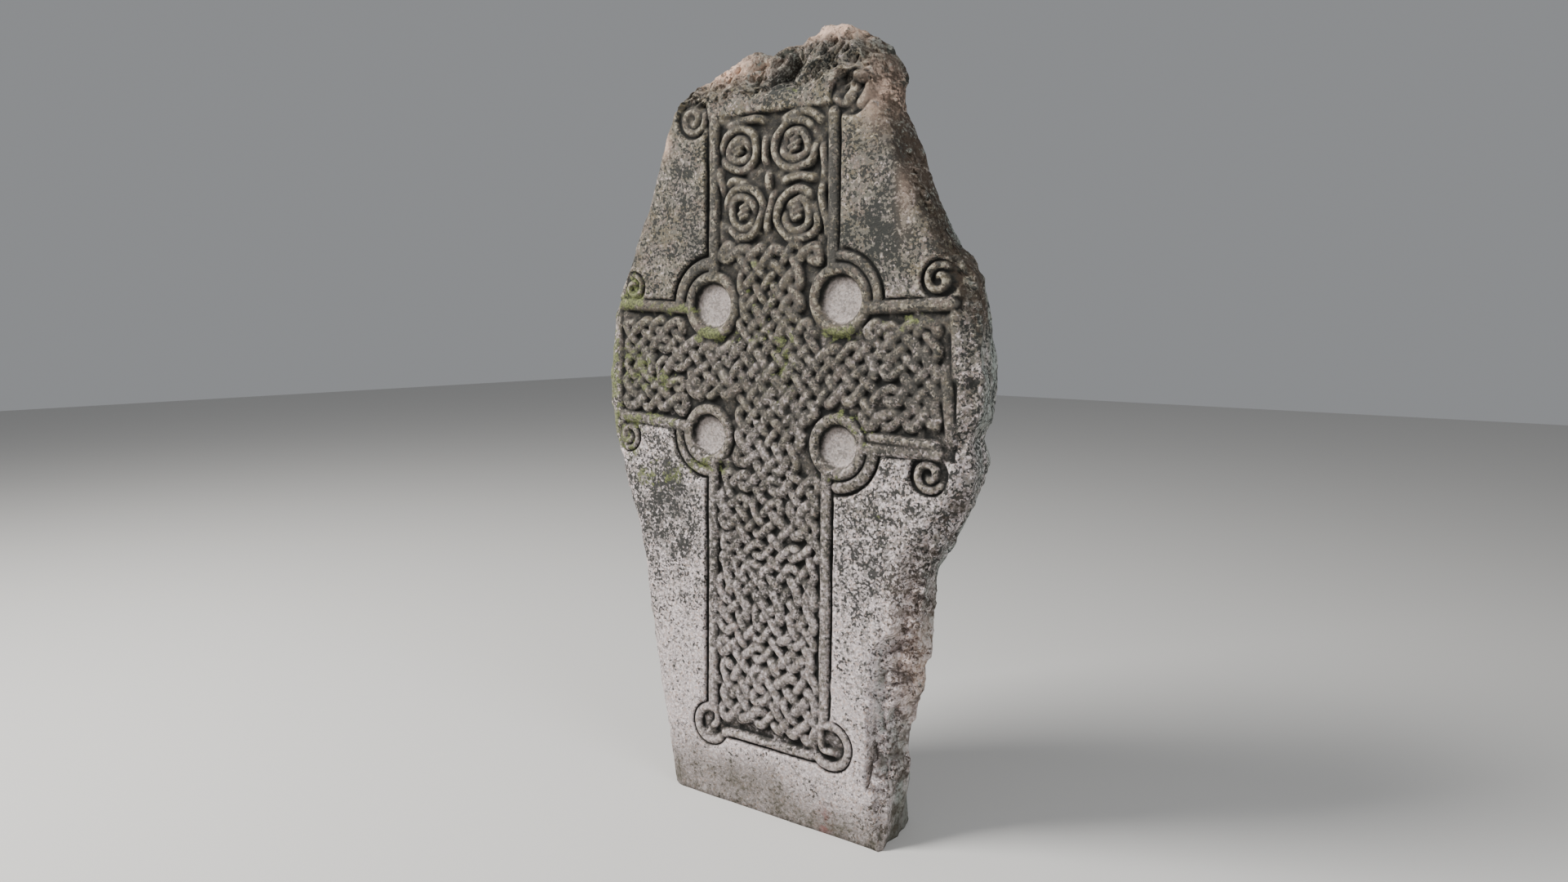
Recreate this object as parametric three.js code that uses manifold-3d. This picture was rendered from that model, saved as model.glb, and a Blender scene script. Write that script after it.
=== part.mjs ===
// An upright granite cross slab of early medieval Scottish form: one tall irregular boulder slab,
// split and dressed flat on the front, which carries a ringed cross filled with interlace.
// Millimetres, +Z up. The carved face looks towards -Y and the foot is cut flat at z = 0.
// While the stone is shaped, x = 0 is the axis of the cross and y = 0 is the plane of the dressed face.

import * as THREE from "three";
import { mergeVertices } from "three/addons/utils/BufferGeometryUtils.js";
import Module from "manifold-3d";

const wasm = await Module();
wasm.setup();

// Driving dimensions of the stone
const THICKNESS = 205;
const THINNING = 0.16; // share of the thickness that is lost between the foot and the top
const BELLY = 14; // how far the back swells in its middle
const ARRIS = 16; // how far the worn front edge falls back from the face
const ARRIS_SHARE = 0.028; // share of the width that the worn edge takes on each side
const FLANK_DEPTH = [0, 0.28, 0.7, 1]; // steps from the front edge to the back edge
const BACK_INSET = 30; // the back is narrower than the front on each side
const TOP_RECEDE = 78; // how far the broken top leans back from the face
const TOP_CREST = 14; // how far the top swells between its front and back edges
const TOP_DROP = 36; // how far the top falls towards the back
const BACK_ROUGH = 9; // size of the random knocks on the back
const SIDE_ROUGH = 5.4; // size of the random knocks on the sides and the top

// Front edge of the stone on the left and on the right, as [height, x], from the foot upwards
const LEFT_EDGE = [
  [0, -304], [126, -324], [204, -346], [369, -376], [597, -413], [747, -450], [869, -493], [954, -519],
  [1011, -533], [1126, -527], [1261, -512], [1340, -479], [1411, -443], [1490, -407], [1583, -372],
  [1661, -343], [1733, -314], [1790, -279],
];
const RIGHT_EDGE = [
  [0, 340], [120, 342], [200, 337], [290, 324], [370, 339], [440, 360], [510, 388], [590, 404], [660, 419],
  [730, 456], [800, 492], [880, 531], [930, 536], [978, 522], [1030, 541], [1110, 552], [1190, 543],
  [1270, 535], [1330, 515], [1385, 476], [1450, 432], [1530, 389], [1620, 350], [1700, 318], [1790, 290],
];
// How far the broken right flank stands out beyond its front edge, as [height, reach]
const RIGHT_FLANK = [
  [0, -10], [150, 4], [224, 20], [300, 38], [470, 34], [567, 10], [700, -6], [900, -12], [1100, -8],
  [1240, -12], [1450, -4], [1600, 6], [1790, -10],
];
const FLANK_END = 0.9; // share of the depth at which that flank is back in line with its edge
// Broken top, as [share of the width, height]
const TOP_EDGE = [
  [0, 1790], [0.07, 1831], [0.18, 1861], [0.32, 1889], [0.41, 1879], [0.52, 1886], [0.6, 1894], [0.67, 1916],
  [0.75, 1914], [0.84, 1900], [0.93, 1868], [1, 1790],
];
const BREAK_HEIGHT = 1772; // the dressed face ends here and the break above it slopes back
// The broken upper right corner: where it starts, and how far it falls back per millimetre across and up
const CORNER = { x: 262, z: 1725, across: 0.63, up: 0.315 };

// Driving dimensions of the carving
const FLOOR = 9; // depth of the sunk ground between the strands
const PROUD = 1; // the carving stands this far out of the dressed face
const ROLL = 30; // width of the roll moulding that frames the cross
const GROOVE = 9; // sunk margin outside the frame
const NARROW_GROOVE = 6; // sunk margin round rings and scrolls, and at the left arm's end
const STRAND = 21; // width of an interlace strand
const FINE_STRAND = 16; // width of the strands in the coil knots
const LINK_STRAND = 18; // width of the strands that link the coil knots
const HAIR = 0.3; // edges shorter than this are closed up
const WAVER = 2.2; // how far the carver's hand strays from a true lattice
const CLEAR = 5; // gap between a strand and the one that it dives under
const RING_CLEAR = 2; // gap between a strand and the ring of a hollow
const RING_SHADE = 8; // a lattice cell whose middle is nearer than this to a ring is left out
const HIP = 0.42; // length of a rib's hipped end as a share of its width
const HIP_LIMIT = 0.45; // the most of its first or last stretch that a hipped end takes
const MITRE_LIMIT = 2;

const SHAFT_HALF = 172; // from the axis to the middle of the frame roll
const SHAFT_HEAD = 1732; // upper edge of the sunk ground
// Frame rolls of the shaft, each from the ring of its hollow to a height: [x, z], in the order of the hollows
const SHAFT_ROLLS = [
  [-172, 1753],
  [176, 1708],
  [-172, 245],
  [167, 290],
];
// Frame rolls of the arms, each from the ring of its hollow: [inner x, z, outer x, z]
const ARM_ROLLS = [
  [-178, 1268, -484, 1279],
  [197, 1271, 478, 1279],
  [-190, 966, -484, 984],
  [195, 951, 452, 952],
];
// Rolls that stand alone: the ends of the arms, the second roll under the right arm, and the foot bar
const END_ROLLS = [
  { line: [[-497, 990], [-497, 1268]], width: 30 },
  { line: [[487, 1262], [494, 1185], [496, 1115]], width: 20 },
  { line: [[468, 1140], [475, 1085], [484, 1015], [487, 978]], width: 26 },
  { line: [[277, 977], [450, 971]], width: 20 },
  { line: [[-140, 174], [-100, 183], [142, 183]], width: 20 },
];
const ARM_ENDS = { left: -497, right: 481 };
const SHAFT_FOOT = 163; // lower edge of the sunk ground
// Sunk round hollows in the armpits, each in a ring with a heavier quarter ring outside it
const HOLLOWS = [
  { x: -178, z: 1275, floor: 58, outer: 120, from: 90, to: 180 },
  { x: 197, z: 1289, floor: 58, outer: 112, from: 0, to: 90 },
  { x: -190, z: 950, floor: 52, outer: 106, from: 180, to: 270 },
  { x: 195, z: 948, floor: 52, outer: 110, from: 270, to: 360 },
];
const HOLLOW_DEPTH = 17;
const HOLLOW_LIP = 2; // a hollow cuts this far into the foot of its ring
const HOLLOW_SIDES = 16;
const RING = 26; // width of the ring roll round a hollow
const RING_GAP = 3; // between that ring and the quarter ring outside it
const QUARTER_STEPS = 6;
// Scrolls at the ends of the frame: middle, outer radius, start in degrees, turns (positive anticlockwise)
const SCROLLS = [
  { x: -238, z: 1730, radius: 38, start: 20, turns: -1.35 },
  { x: 217, z: 1745, radius: 40, start: 180, turns: 1.3 },
  { x: -440, z: 1321, radius: 32, start: 100, turns: -1.3 },
  { x: 447, z: 1331, radius: 34, start: 60, turns: 1.4 },
  { x: -460, z: 930, radius: 34, start: 250, turns: 1.3 },
  { x: 434, z: 904, radius: 38, start: 330, turns: -1.45 },
];
const SCROLL_STRAND = 0.42; // width of a scroll's strand as a share of its outer radius
const SCROLL_EYE = 0.3; // radius at the eye of a scroll as a share of its outer radius
const SCROLL_STEPS = 10;
// Rings at the foot of the shaft, from the foot bar round by degrees, each with a hook inside it
const FOOT_RINGS = [
  { x: -178, z: 193, radius: 41, from: -35, to: -300, hook: [[-164, 250], [-159, 208], [-176, 186]] },
  { x: 187, z: 221, radius: 48, from: 215, to: 540, hook: [[163, 296], [163, 214], [196, 206]] },
];
const FOOT_STRAND = 23; // width of those rings
const HOOK_STRAND = 17; // width of the hooks in them
const ARC_STEPS = 11; // facets of a ring that isn't closed

// The interlace lattice: column 0 and column 6 are the sides of the shaft, and rows run up from its foot
const SHAFT_COLUMNS = 6;
const ARM_COLUMNS = 6; // columns of each arm beyond the shaft
const SHAFT_ROWS = 14; // rows below the arms
const ARM_ROWS = 5;
const NECK_ROWS = 3; // rows above the arms, up to the coil knots
const PANEL = { left: -154, right: 150 };
// Breaks in the plait, as [column, row]: an eye is a cell that is shut above and below, and a split is
// shut off from the cell on its left
const EYES = [
  [2, 0], [0, 3], [2, 3], [4, 3], [0, 8], [2, 8], [4, 8], [1, 11], [3, 11], [-4, 17], [-3, 15], [9, 17],
  [9, 15],
];
const SPLITS = [
  [2, 1], [4, 1], [2, 5], [4, 5], [1, 6], [3, 6], [5, 6], [2, 10], [4, 10], [-4, 16], [-2, 15], [9, 16],
  [11, 17],
];
const ARM_REACH = { left: -479, right: 463 };
const ROW_HEIGHTS = { foot: 213, armHead: 1250, neck: 1425 };
const ARM_FOOT = [[-480, 1002], [0, 976], [463, 1000]]; // the arms' lower edge, as [x, z]

// Coil knots in the head of the cross
const COILS = [
  { x: -98, z: 1650, radius: 49 },
  { x: 67, z: 1648, radius: 56 },
  { x: -79, z: 1500, radius: 58 },
  { x: 76, z: 1492, radius: 57 },
];
const COIL_GAP = 21; // between the turns of a coil knot
const COIL_STARTS = [215, 35]; // where the outer ring of a left and of a right coil starts, in degrees
const COIL_SWEEP = 320; // degrees of each ring, which is broken once
const COIL_LAG = 150; // the inner ring starts this much further round
// The twist in the middle of a coil: rows of short leaning strands
const TWIST = { strand: 10, step: 11.5, halves: [10, 15, 10], lean: 0.45 };
// Strands that link the coil knots: over the upper two, between them, over the lower two, and at the sides
const LINKS = [
  [[-130, 1707], [-80, 1715], [-24, 1708]],
  [[33, 1708], [72, 1718], [110, 1714], [138, 1692]],
  [[-16, 1672], [-16, 1614]],
  [[-14, 1588], [-12, 1556]],
  [[-132, 1561], [-106, 1573], [-74, 1570]],
  [[32, 1566], [75, 1575], [122, 1571]],
  [[5, 1538], [0, 1505], [-2, 1448]],
  [[-149, 1600], [-149, 1543]],
  [[145, 1640], [145, 1574]],
  [[151, 1548], [151, 1442]],
];

const material = new THREE.MeshStandardMaterial({ color: 0xa39a90, roughness: 0.92, metalness: 0 });

// Straight-line interpolation in a table of [position, value]
function along(table, at) {
  let k = 1;
  while (k < table.length - 1 && at > table[k][0]) k++;
  const [a, va] = table[k - 1];
  const [b, vb] = table[k];
  const share = THREE.MathUtils.clamp((at - a) / (b - a), 0, 1);
  return va + (vb - va) * share;
}

// A repeatable random number from -1 to 1 for a place on the stone
function knock(a, b) {
  const value = Math.sin(a * 127.1 + b * 311.7) * 43758.5453;
  return 2 * (value - Math.floor(value)) - 1;
}

function radians(degrees) {
  return THREE.MathUtils.degToRad(degrees);
}

// A closed three.js geometry as a solid that can be joined and cut
function solidOf(geometry) {
  const bare = geometry.clone();
  bare.deleteAttribute("normal");
  bare.deleteAttribute("uv");
  const sameSpot = 1e-3;
  const merged = mergeVertices(bare, sameSpot);
  return new wasm.Manifold(
    new wasm.Mesh({
      numProp: 3,
      vertProperties: new Float32Array(merged.attributes.position.array),
      triVerts: new Uint32Array(merged.index.array),
    }),
  );
}

function geometryOf(solid) {
  const mesh = solid.getMesh();
  return new THREE.BufferGeometry()
    .setAttribute("position", new THREE.BufferAttribute(new Float32Array(mesh.vertProperties), 3))
    .setIndex(new THREE.BufferAttribute(new Uint32Array(mesh.triVerts), 1));
}

// The same solid without the hair-thin facets that cutting leaves: both ends of a very short edge
// become one point, and the facets that this closes up are dropped
function withoutHairs(geometry, shortest) {
  const place = geometry.attributes.position;
  const index = Array.from(geometry.index.array);
  const corner = (k) => new THREE.Vector3().fromBufferAttribute(place, k);
  const home = Array.from({ length: place.count }, (_, k) => k);
  const root = (k) => (home[k] === k ? k : root(home[k]));
  for (let t = 0; t < index.length; t += 3) {
    for (const [m, n] of [[0, 1], [1, 2], [2, 0]]) {
      const [a, b] = [index[t + m], index[t + n]];
      if (corner(a).distanceTo(corner(b)) < shortest) home[root(a)] = root(b);
    }
  }
  const triangles = [];
  for (let t = 0; t < index.length; t += 3) {
    const corners = index.slice(t, t + 3).map(root);
    if (new Set(corners).size === 3) triangles.push(corners);
  }
  return indexedGeometry(home.map((_, k) => corner(k)), triangles);
}

function indexedGeometry(points, triangles) {
  return new THREE.BufferGeometry().setFromPoints(points).setIndex(triangles.flat());
}

// The stone before it is carved: rings of points up the slab, capped by the broken top

const COLUMNS = [0, ARRIS_SHARE, 0.17, 0.32, 0.42, 0.56, 0.69, 0.84, 1 - ARRIS_SHARE, 1];
const ROWS = [
  0, 0.07, 0.115, 0.165, 0.25, 0.33, 0.41, 0.49, 0.52, 0.548, 0.575, 0.62, 0.68, 0.715, 0.75, 0.82, 0.89,
  0.95, 1,
];

// Where column s and row v of the front meet, without the worn edge
function facePoint(s, v) {
  const left = along(LEFT_EDGE, v * along(TOP_EDGE, 0));
  const right = along(RIGHT_EDGE, v * along(TOP_EDGE, 1));
  return { x: left + (right - left) * s, z: v * along(TOP_EDGE, s) };
}

// Depth of the front surface: level on the dressed face, falling back at the edges and above the break
function faceDepth(s, v) {
  const { x, z } = facePoint(s, v);
  const edge = s === 0 || s === 1 ? ARRIS : 0;
  const rise = Math.max(0, z - BREAK_HEIGHT) / (along(TOP_EDGE, s) - BREAK_HEIGHT + 1);
  const corner = Math.max(0, (x - CORNER.x) * CORNER.across + (z - CORNER.z) * CORNER.up);
  return edge + TOP_RECEDE * rise + corner;
}

// A point of the stone: s across, v up, d from the front (0) to the back (1)
function stonePoint(s, v, d) {
  const { x, z } = facePoint(s, v);
  const front = faceDepth(s, v);
  const thickness = THICKNESS * (1 - THINNING * v);
  const onSide = s === 0 || s === 1;
  const unworked = v > 0 && d > 0;
  const inset = BACK_INSET * (1 - 2 * s) * Math.max(0, 2 * d - 1);
  const reach = s === 1 ? along(RIGHT_FLANK, z) * Math.sin(Math.PI * Math.min(1, d / FLANK_END)) : 0;
  const belly = d === 1 ? BELLY * Math.sin(Math.PI * s) * Math.sin(Math.PI * v) : 0;
  const y = front + (thickness - front) * d + belly;
  const lift = v === 1 ? TOP_CREST * Math.sin(Math.PI * d) - TOP_DROP * d : 0;
  return new THREE.Vector3(
    x + inset + reach + (unworked && onSide ? SIDE_ROUGH * knock(v * 31 + s, d * 17) : 0),
    y + (unworked && d === 1 ? BACK_ROUGH * knock(s * 13, v * 29) : 0),
    z + lift + (unworked && v === 1 ? SIDE_ROUGH * knock(s * 23, d * 11) : 0),
  );
}

function stoneBody() {
  const inner = FLANK_DEPTH.slice(1, -1);
  const loop = [
    ...COLUMNS.map((s) => [s, 0]),
    ...inner.map((d) => [1, d]),
    ...COLUMNS.toReversed().map((s) => [s, 1]),
    ...inner.toReversed().map((d) => [0, d]),
  ];
  const points = [];
  const triangles = [];
  const quad = (a, b, c, d) => triangles.push([a, b, c], [a, c, d]);

  for (const v of ROWS) {
    for (const [s, d] of loop) points.push(stonePoint(s, v, d));
  }
  for (let row = 0; row < ROWS.length - 1; row++) {
    loop.forEach((_, k) => {
      const next = (k + 1) % loop.length;
      const low = row * loop.length;
      const high = low + loop.length;
      quad(low + k, low + next, high + next, high + k);
    });
  }

  // The flat foot, as a fan round its middle
  const middle = points.push(new THREE.Vector3(0, THICKNESS / 2, 0)) - 1;
  loop.forEach((_, k) => triangles.push([middle, (k + 1) % loop.length, k]));

  // The top, as a grid from the front edge to the back edge whose sides are the last ring's flanks
  const ring = (ROWS.length - 1) * loop.length;
  const last = COLUMNS.length - 1;
  const depths = FLANK_DEPTH.length - 1;
  const grid = COLUMNS.map((s, i) =>
    FLANK_DEPTH.map((d, j) => {
      if (j === 0) return ring + i;
      if (i === last) return ring + last + j;
      if (j === depths) return ring + last + depths + (last - i);
      if (i === 0) return ring + loop.length - j;
      return points.push(stonePoint(s, 1, d)) - 1;
    }),
  );
  for (let i = 0; i < last; i++) {
    for (let j = 0; j < depths; j++) {
      quad(grid[i][j], grid[i + 1][j], grid[i + 1][j + 1], grid[i][j + 1]);
    }
  }
  return solidOf(indexedGeometry(points, triangles));
}

// Tools for the carving: sunk areas are prisms, and everything that stands in them is a rib

// A prism through the face over an outline of [x, z] points, down to a depth
function sunkArea(outline, depth) {
  const above = 40;
  const shape = new THREE.Shape(outline.map(([x, z]) => new THREE.Vector2(x, z)));
  const geometry = new THREE.ExtrudeGeometry(shape, { depth: depth + above, bevelEnabled: false });
  return solidOf(geometry.rotateX(Math.PI / 2).translate(0, depth, 0));
}

function circle(x, z, radius, sides) {
  return Array.from({ length: sides }, (_, k) => {
    const turn = ((k + 0.5) / sides) * 2 * Math.PI;
    return [x + radius * Math.cos(turn), z + radius * Math.sin(turn)];
  });
}

// A carved rib along a line of [x, z] points: a ridge whose flanks run down to the sunk ground
// and whose ends are hipped. A closed rib joins its last point to its first.
function rib(line, width, closed = false) {
  const path = line.map(([x, z]) => new THREE.Vector2(x, z));
  const last = path.length - 1;
  const points = path.flatMap((here, k) => {
    const before = path[closed ? (k + last) % (last + 1) : Math.max(0, k - 1)];
    const after = path[closed ? (k + 1) % (last + 1) : Math.min(last, k + 1)];
    const inward = here.clone().sub(before).normalize();
    const outward = after.clone().sub(here).normalize();
    const heading = inward.clone().add(outward).normalize();
    const mitre = Math.min(MITRE_LIMIT, 1 / Math.max(heading.dot(inward), heading.dot(outward)));
    const side = new THREE.Vector2(-heading.y, heading.x).multiplyScalar((width / 2) * mitre);
    const stretch = Math.max(here.distanceTo(before), here.distanceTo(after));
    const reach = Math.min(HIP * width, HIP_LIMIT * stretch);
    const hip = closed || (k > 0 && k < last) ? 0 : reach * (k === 0 ? 1 : -1);
    const ridge = here.clone().addScaledVector(heading, hip);
    return [
      new THREE.Vector3(here.x - side.x, FLOOR, here.y - side.y),
      new THREE.Vector3(ridge.x, -PROUD, ridge.y),
      new THREE.Vector3(here.x + side.x, FLOOR, here.y + side.y),
    ];
  });
  const triangles = closed ? [] : [[0, 2, 1], [3 * last, 3 * last + 1, 3 * last + 2]];
  for (let k = 0; k < (closed ? last + 1 : last); k++) {
    const a = 3 * k;
    const b = 3 * ((k + 1) % (last + 1));
    for (const [m, n] of [[0, 1], [1, 2], [2, 0]]) {
      triangles.push([a + m, a + n, b + n], [a + m, b + n, b + m]);
    }
  }
  return solidOf(indexedGeometry(points, triangles.map(([a, b, c]) => [a, c, b])));
}

function arc(x, z, radius, from, to, steps) {
  return Array.from({ length: steps + 1 }, (_, k) => {
    const turn = radians(from + ((to - from) * k) / steps);
    return [x + radius * Math.cos(turn), z + radius * Math.sin(turn)];
  });
}

function scrollLine({ x, z, radius, start, turns }) {
  return Array.from({ length: SCROLL_STEPS + 1 }, (_, k) => {
    const share = k / SCROLL_STEPS;
    const r = radius * (1 - (1 - SCROLL_EYE) * share);
    const turn = radians(start + 360 * turns * share);
    return [x + r * Math.cos(turn), z + r * Math.sin(turn)];
  });
}

// The frame: rolls round the cross, rings round the hollows, scrolls at the ends and rings at the foot

function frameRibs() {
  const ribs = END_ROLLS.map(({ line, width }) => rib(line, width));
  HOLLOWS.forEach((hollow, k) => {
    const ring = hollow.floor + RING / 2;
    const [shaftX, shaftEnd] = SHAFT_ROLLS[k];
    const [innerX, innerZ, outerX, outerZ] = ARM_ROLLS[k];
    const shaftStart = hollow.z + Math.sign(shaftEnd - hollow.z) * ring;
    ribs.push(rib([[shaftX, shaftStart], [shaftX, shaftEnd]], ROLL));
    ribs.push(rib([[innerX + Math.sign(innerX) * ring, innerZ], [outerX, outerZ]], ROLL));
    ribs.push(rib(circle(hollow.x, hollow.z, ring, HOLLOW_SIDES), RING, true));

    const inner = hollow.floor + RING + RING_GAP;
    const middle = (inner + hollow.outer) / 2;
    const quarter = arc(hollow.x, hollow.z, middle, hollow.from, hollow.to, QUARTER_STEPS);
    ribs.push(rib(quarter, hollow.outer - inner));
  });
  for (const scroll of SCROLLS) ribs.push(rib(scrollLine(scroll), SCROLL_STRAND * scroll.radius));
  for (const { x, z, radius, from, to, hook } of FOOT_RINGS) {
    ribs.push(rib(arc(x, z, radius, from, to, ARC_STEPS), FOOT_STRAND));
    ribs.push(rib(hook, HOOK_STRAND));
  }
  return ribs;
}

function sunkGround() {
  const margin = ROLL / 2 + GROOVE;
  const half = SHAFT_HALF + margin;
  const [topLeft, topRight, lowLeft, lowRight] = ARM_ROLLS;
  const left = ARM_ENDS.left - NARROW_GROOVE;
  const right = ARM_ENDS.right + margin;
  const areas = [
    [[-half, SHAFT_FOOT], [half, SHAFT_FOOT], [half, SHAFT_HEAD], [-half, SHAFT_HEAD]],
    [
      [left, lowLeft[3] - margin],
      [PANEL.left, lowLeft[1] - margin],
      [PANEL.right, lowRight[1] - margin],
      [right, lowRight[3] - margin],
      [right, topRight[3] + margin],
      [PANEL.right, topRight[1] + margin],
      [PANEL.left, topLeft[1] + margin],
      [left, topLeft[3] + margin],
    ],
  ];
  const rounds = [
    ...HOLLOWS.map(({ x, z, outer }) => ({ x, z, radius: outer })),
    ...SCROLLS.map(({ x, z, radius }) => ({ x, z, radius: (1 + SCROLL_STRAND / 2) * radius })),
    ...FOOT_RINGS.map(({ x, z, radius }) => ({ x, z, radius: radius + FOOT_STRAND / 2 })),
  ];
  for (const { x, z, radius } of rounds) areas.push(circle(x, z, radius + NARROW_GROOVE, HOLLOW_SIDES));
  return areas.map((outline) => sunkArea(outline, FLOOR));
}

// The interlace. Strands run diagonally through a lattice of square cells. They cross in the middle of
// each edge that two cells share, over and under by turns, and they turn back at the edge of the panel
// and at the breaks that the carver left in the plait.

const LATTICE_ROWS = SHAFT_ROWS + ARM_ROWS + NECK_ROWS;

// Lattice columns run from -ARM_COLUMNS at the left arm's end to SHAFT_COLUMNS + ARM_COLUMNS at the right's
function latticePoint(i, j) {
  const { foot, armHead, neck } = ROW_HEIGHTS;
  const x = along(
    [
      [-ARM_COLUMNS, ARM_REACH.left],
      [0, PANEL.left],
      [SHAFT_COLUMNS, PANEL.right],
      [SHAFT_COLUMNS + ARM_COLUMNS, ARM_REACH.right],
    ],
    i,
  );
  const z = along(
    [[0, foot], [SHAFT_ROWS, along(ARM_FOOT, x)], [SHAFT_ROWS + ARM_ROWS, armHead], [LATTICE_ROWS, neck]],
    j,
  );
  return [x + WAVER * knock(i, j), z + WAVER * knock(j, i)];
}

// The nearest hollow, and how far a place is from its middle beyond its ring
function beyondRing(x, z) {
  const gaps = HOLLOWS.map((h) => ({ h, away: Math.hypot(x - h.x, z - h.z), ring: h.floor + RING }));
  return gaps.reduce((a, b) => (b.away - b.ring < a.away - a.ring ? b : a));
}

// The same place, pushed out so that a strand there clears the ring of a hollow
function clearOfRing([x, z]) {
  const { h, away, ring } = beyondRing(x, z);
  const push = Math.max(1, (ring + STRAND / 2 + RING_CLEAR) / away);
  return [h.x + (x - h.x) * push, h.z + (z - h.z) * push];
}

function inPanel(i, j) {
  const inShaft = i >= 0 && i < SHAFT_COLUMNS && j >= 0 && j < LATTICE_ROWS;
  const inArms =
    i >= -ARM_COLUMNS && i < SHAFT_COLUMNS + ARM_COLUMNS && j >= SHAFT_ROWS && j < SHAFT_ROWS + ARM_ROWS;
  const { away, ring } = beyondRing(...latticePoint(i + 0.5, j + 0.5));
  return (inShaft || inArms) && away > ring + RING_SHADE;
}

// What a strand meets at the middle of an edge: null for a crossing, or the way that it turns back
function turnAt(a, b) {
  const upright = Number.isInteger(a);
  const [first, second] = upright
    ? [[a - 1, Math.floor(b)], [a, Math.floor(b)]]
    : [[Math.floor(a), b - 1], [Math.floor(a), b]];
  if (!inPanel(...first) || !inPanel(...second)) return upright ? "sideways" : "upwards";
  if (upright) return SPLITS.some(([i, j]) => a === i && Math.floor(b) === j) ? "sideways" : null;
  return EYES.some(([i, j]) => Math.floor(a) === i && (b === j || b === j + 1)) ? "upwards" : null;
}

// Follow every strand until it closes on itself, and note each place that it passes. Each quarter of a
// cell holds one stretch of strand, known by its middle.
function traceStrands() {
  const seen = new Set();
  const strands = [];
  for (let i = -ARM_COLUMNS; i < SHAFT_COLUMNS + ARM_COLUMNS; i++) {
    for (let j = 0; j < LATTICE_ROWS; j++) {
      if (!inPanel(i, j)) continue;
      for (const [dx, dy] of [[1, 1], [1, -1], [-1, 1], [-1, -1]]) {
        let [a, b, sx, sy] = [i + (dx > 0 ? 0 : 1), j + 0.5, dx, dy];
        const stretch = () => `${a + sx / 4} ${b + sy / 4}`;
        const strand = [];
        while (!seen.has(stretch())) {
          seen.add(stretch());
          a += sx / 2;
          b += sy / 2;
          const turn = turnAt(a, b);
          strand.push({ a, b, sx, sy, turn, over: turn === null && sx * sy > 0 === Number.isInteger(a) });
          if (turn === "sideways") sx = -sx;
          if (turn === "upwards") sy = -sy;
        }
        if (strand.length > 0) strands.push(strand);
      }
    }
  }
  return strands;
}

// Where a strand passes a lattice place: straight over a crossing, and in two steps round a turn
function passing({ a, b, sx, sy, turn }) {
  const inset = 0.25;
  const half = 0.13;
  let points = [latticePoint(a, b)];
  if (turn === "sideways") {
    points = [-half, half].map((step) => latticePoint(a - inset * sx, b + step * sy));
  } else if (turn === "upwards") {
    points = [-half, half].map((step) => latticePoint(a + step * sx, b - inset * sy));
  }
  return points.map(clearOfRing);
}

function shortened(line, amount) {
  const pull = ([x1, z1], [x2, z2]) => {
    const length = Math.hypot(x2 - x1, z2 - z1);
    return [x1 + ((x2 - x1) / length) * amount, z1 + ((z2 - z1) / length) * amount];
  };
  const ends = [pull(line[0], line[1]), pull(line.at(-1), line.at(-2))];
  return [ends[0], ...line.slice(1, -1), ends[1]];
}

// Leave out the middle points of straight stretches
function straightened(line) {
  const slight = 0.2;
  return line.filter(([x, z], k) => {
    if (k === 0 || k === line.length - 1) return true;
    const [x1, z1] = line[k - 1];
    const [x2, z2] = line[k + 1];
    const bend = Math.abs((x - x1) * (z2 - z1) - (z - z1) * (x2 - x1));
    return bend > slight * Math.hypot(x2 - x1, z2 - z1) * Math.hypot(x - x1, z - z1);
  });
}

// One rib for each stretch of strand between two places where it dives under another
function interlaceRibs() {
  const ribs = [];
  for (const strand of traceStrands()) {
    const dives = strand.flatMap((place, k) => (place.turn === null && !place.over ? [k] : []));
    if (dives.length === 0) {
      ribs.push(rib(strand.flatMap(passing), STRAND, true));
      continue;
    }
    dives.forEach((from, n) => {
      const to = n + 1 < dives.length ? dives[n + 1] : dives[0] + strand.length;
      const places = [];
      for (let k = from; k <= to; k++) places.push(strand[k % strand.length]);
      const line = shortened(places.flatMap(passing), STRAND / 2 + CLEAR);
      ribs.push(rib(straightened(line), STRAND));
    });
  }
  return ribs;
}

// A coil knot: two rings that each break once, round a twist of short strands
function coilRibs({ x, z, radius }, n) {
  const start = COIL_STARTS[n % 2];
  const innerStart = start + COIL_LAG;
  const ribs = [
    rib(arc(x, z, radius, start, start + COIL_SWEEP, ARC_STEPS), FINE_STRAND),
    rib(arc(x, z, radius - COIL_GAP, innerStart, innerStart + COIL_SWEEP, ARC_STEPS), FINE_STRAND),
  ];
  TWIST.halves.forEach((half, row) => {
    const middle = z + (row - 1) * TWIST.step;
    const rise = TWIST.lean * half;
    ribs.push(rib([[x - half, middle - rise], [x + half, middle + rise]], TWIST.strand));
  });
  return ribs;
}

function joined(solids) {
  return solids.reduce((all, solid) => all.add(solid));
}

function carvedSlab() {
  const bowl = ({ x, z, floor }) => sunkArea(circle(x, z, floor + HOLLOW_LIP, HOLLOW_SIDES), HOLLOW_DEPTH);
  const ribs = [
    ...frameRibs(),
    ...interlaceRibs(),
    ...COILS.flatMap(coilRibs),
    ...LINKS.map((line) => rib(line, LINK_STRAND)),
  ];
  return stoneBody().subtract(joined(sunkGround())).add(joined(ribs)).subtract(joined(HOLLOWS.map(bowl)));
}

// The origin is under the middle of the slab, on the ground
const geometry = withoutHairs(geometryOf(carvedSlab()), HAIR);
geometry.computeBoundingBox();
const { min, max } = geometry.boundingBox;
geometry.translate(-(min.x + max.x) / 2, -(min.y + max.y) / 2, -min.z);

const slab = new THREE.Mesh(geometry, material);
slab.name = "cross_slab";

const part = new THREE.Group();
part.add(slab);

export default part;
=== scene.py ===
import bpy
import numpy as np
from mathutils import Matrix, Vector


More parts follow.
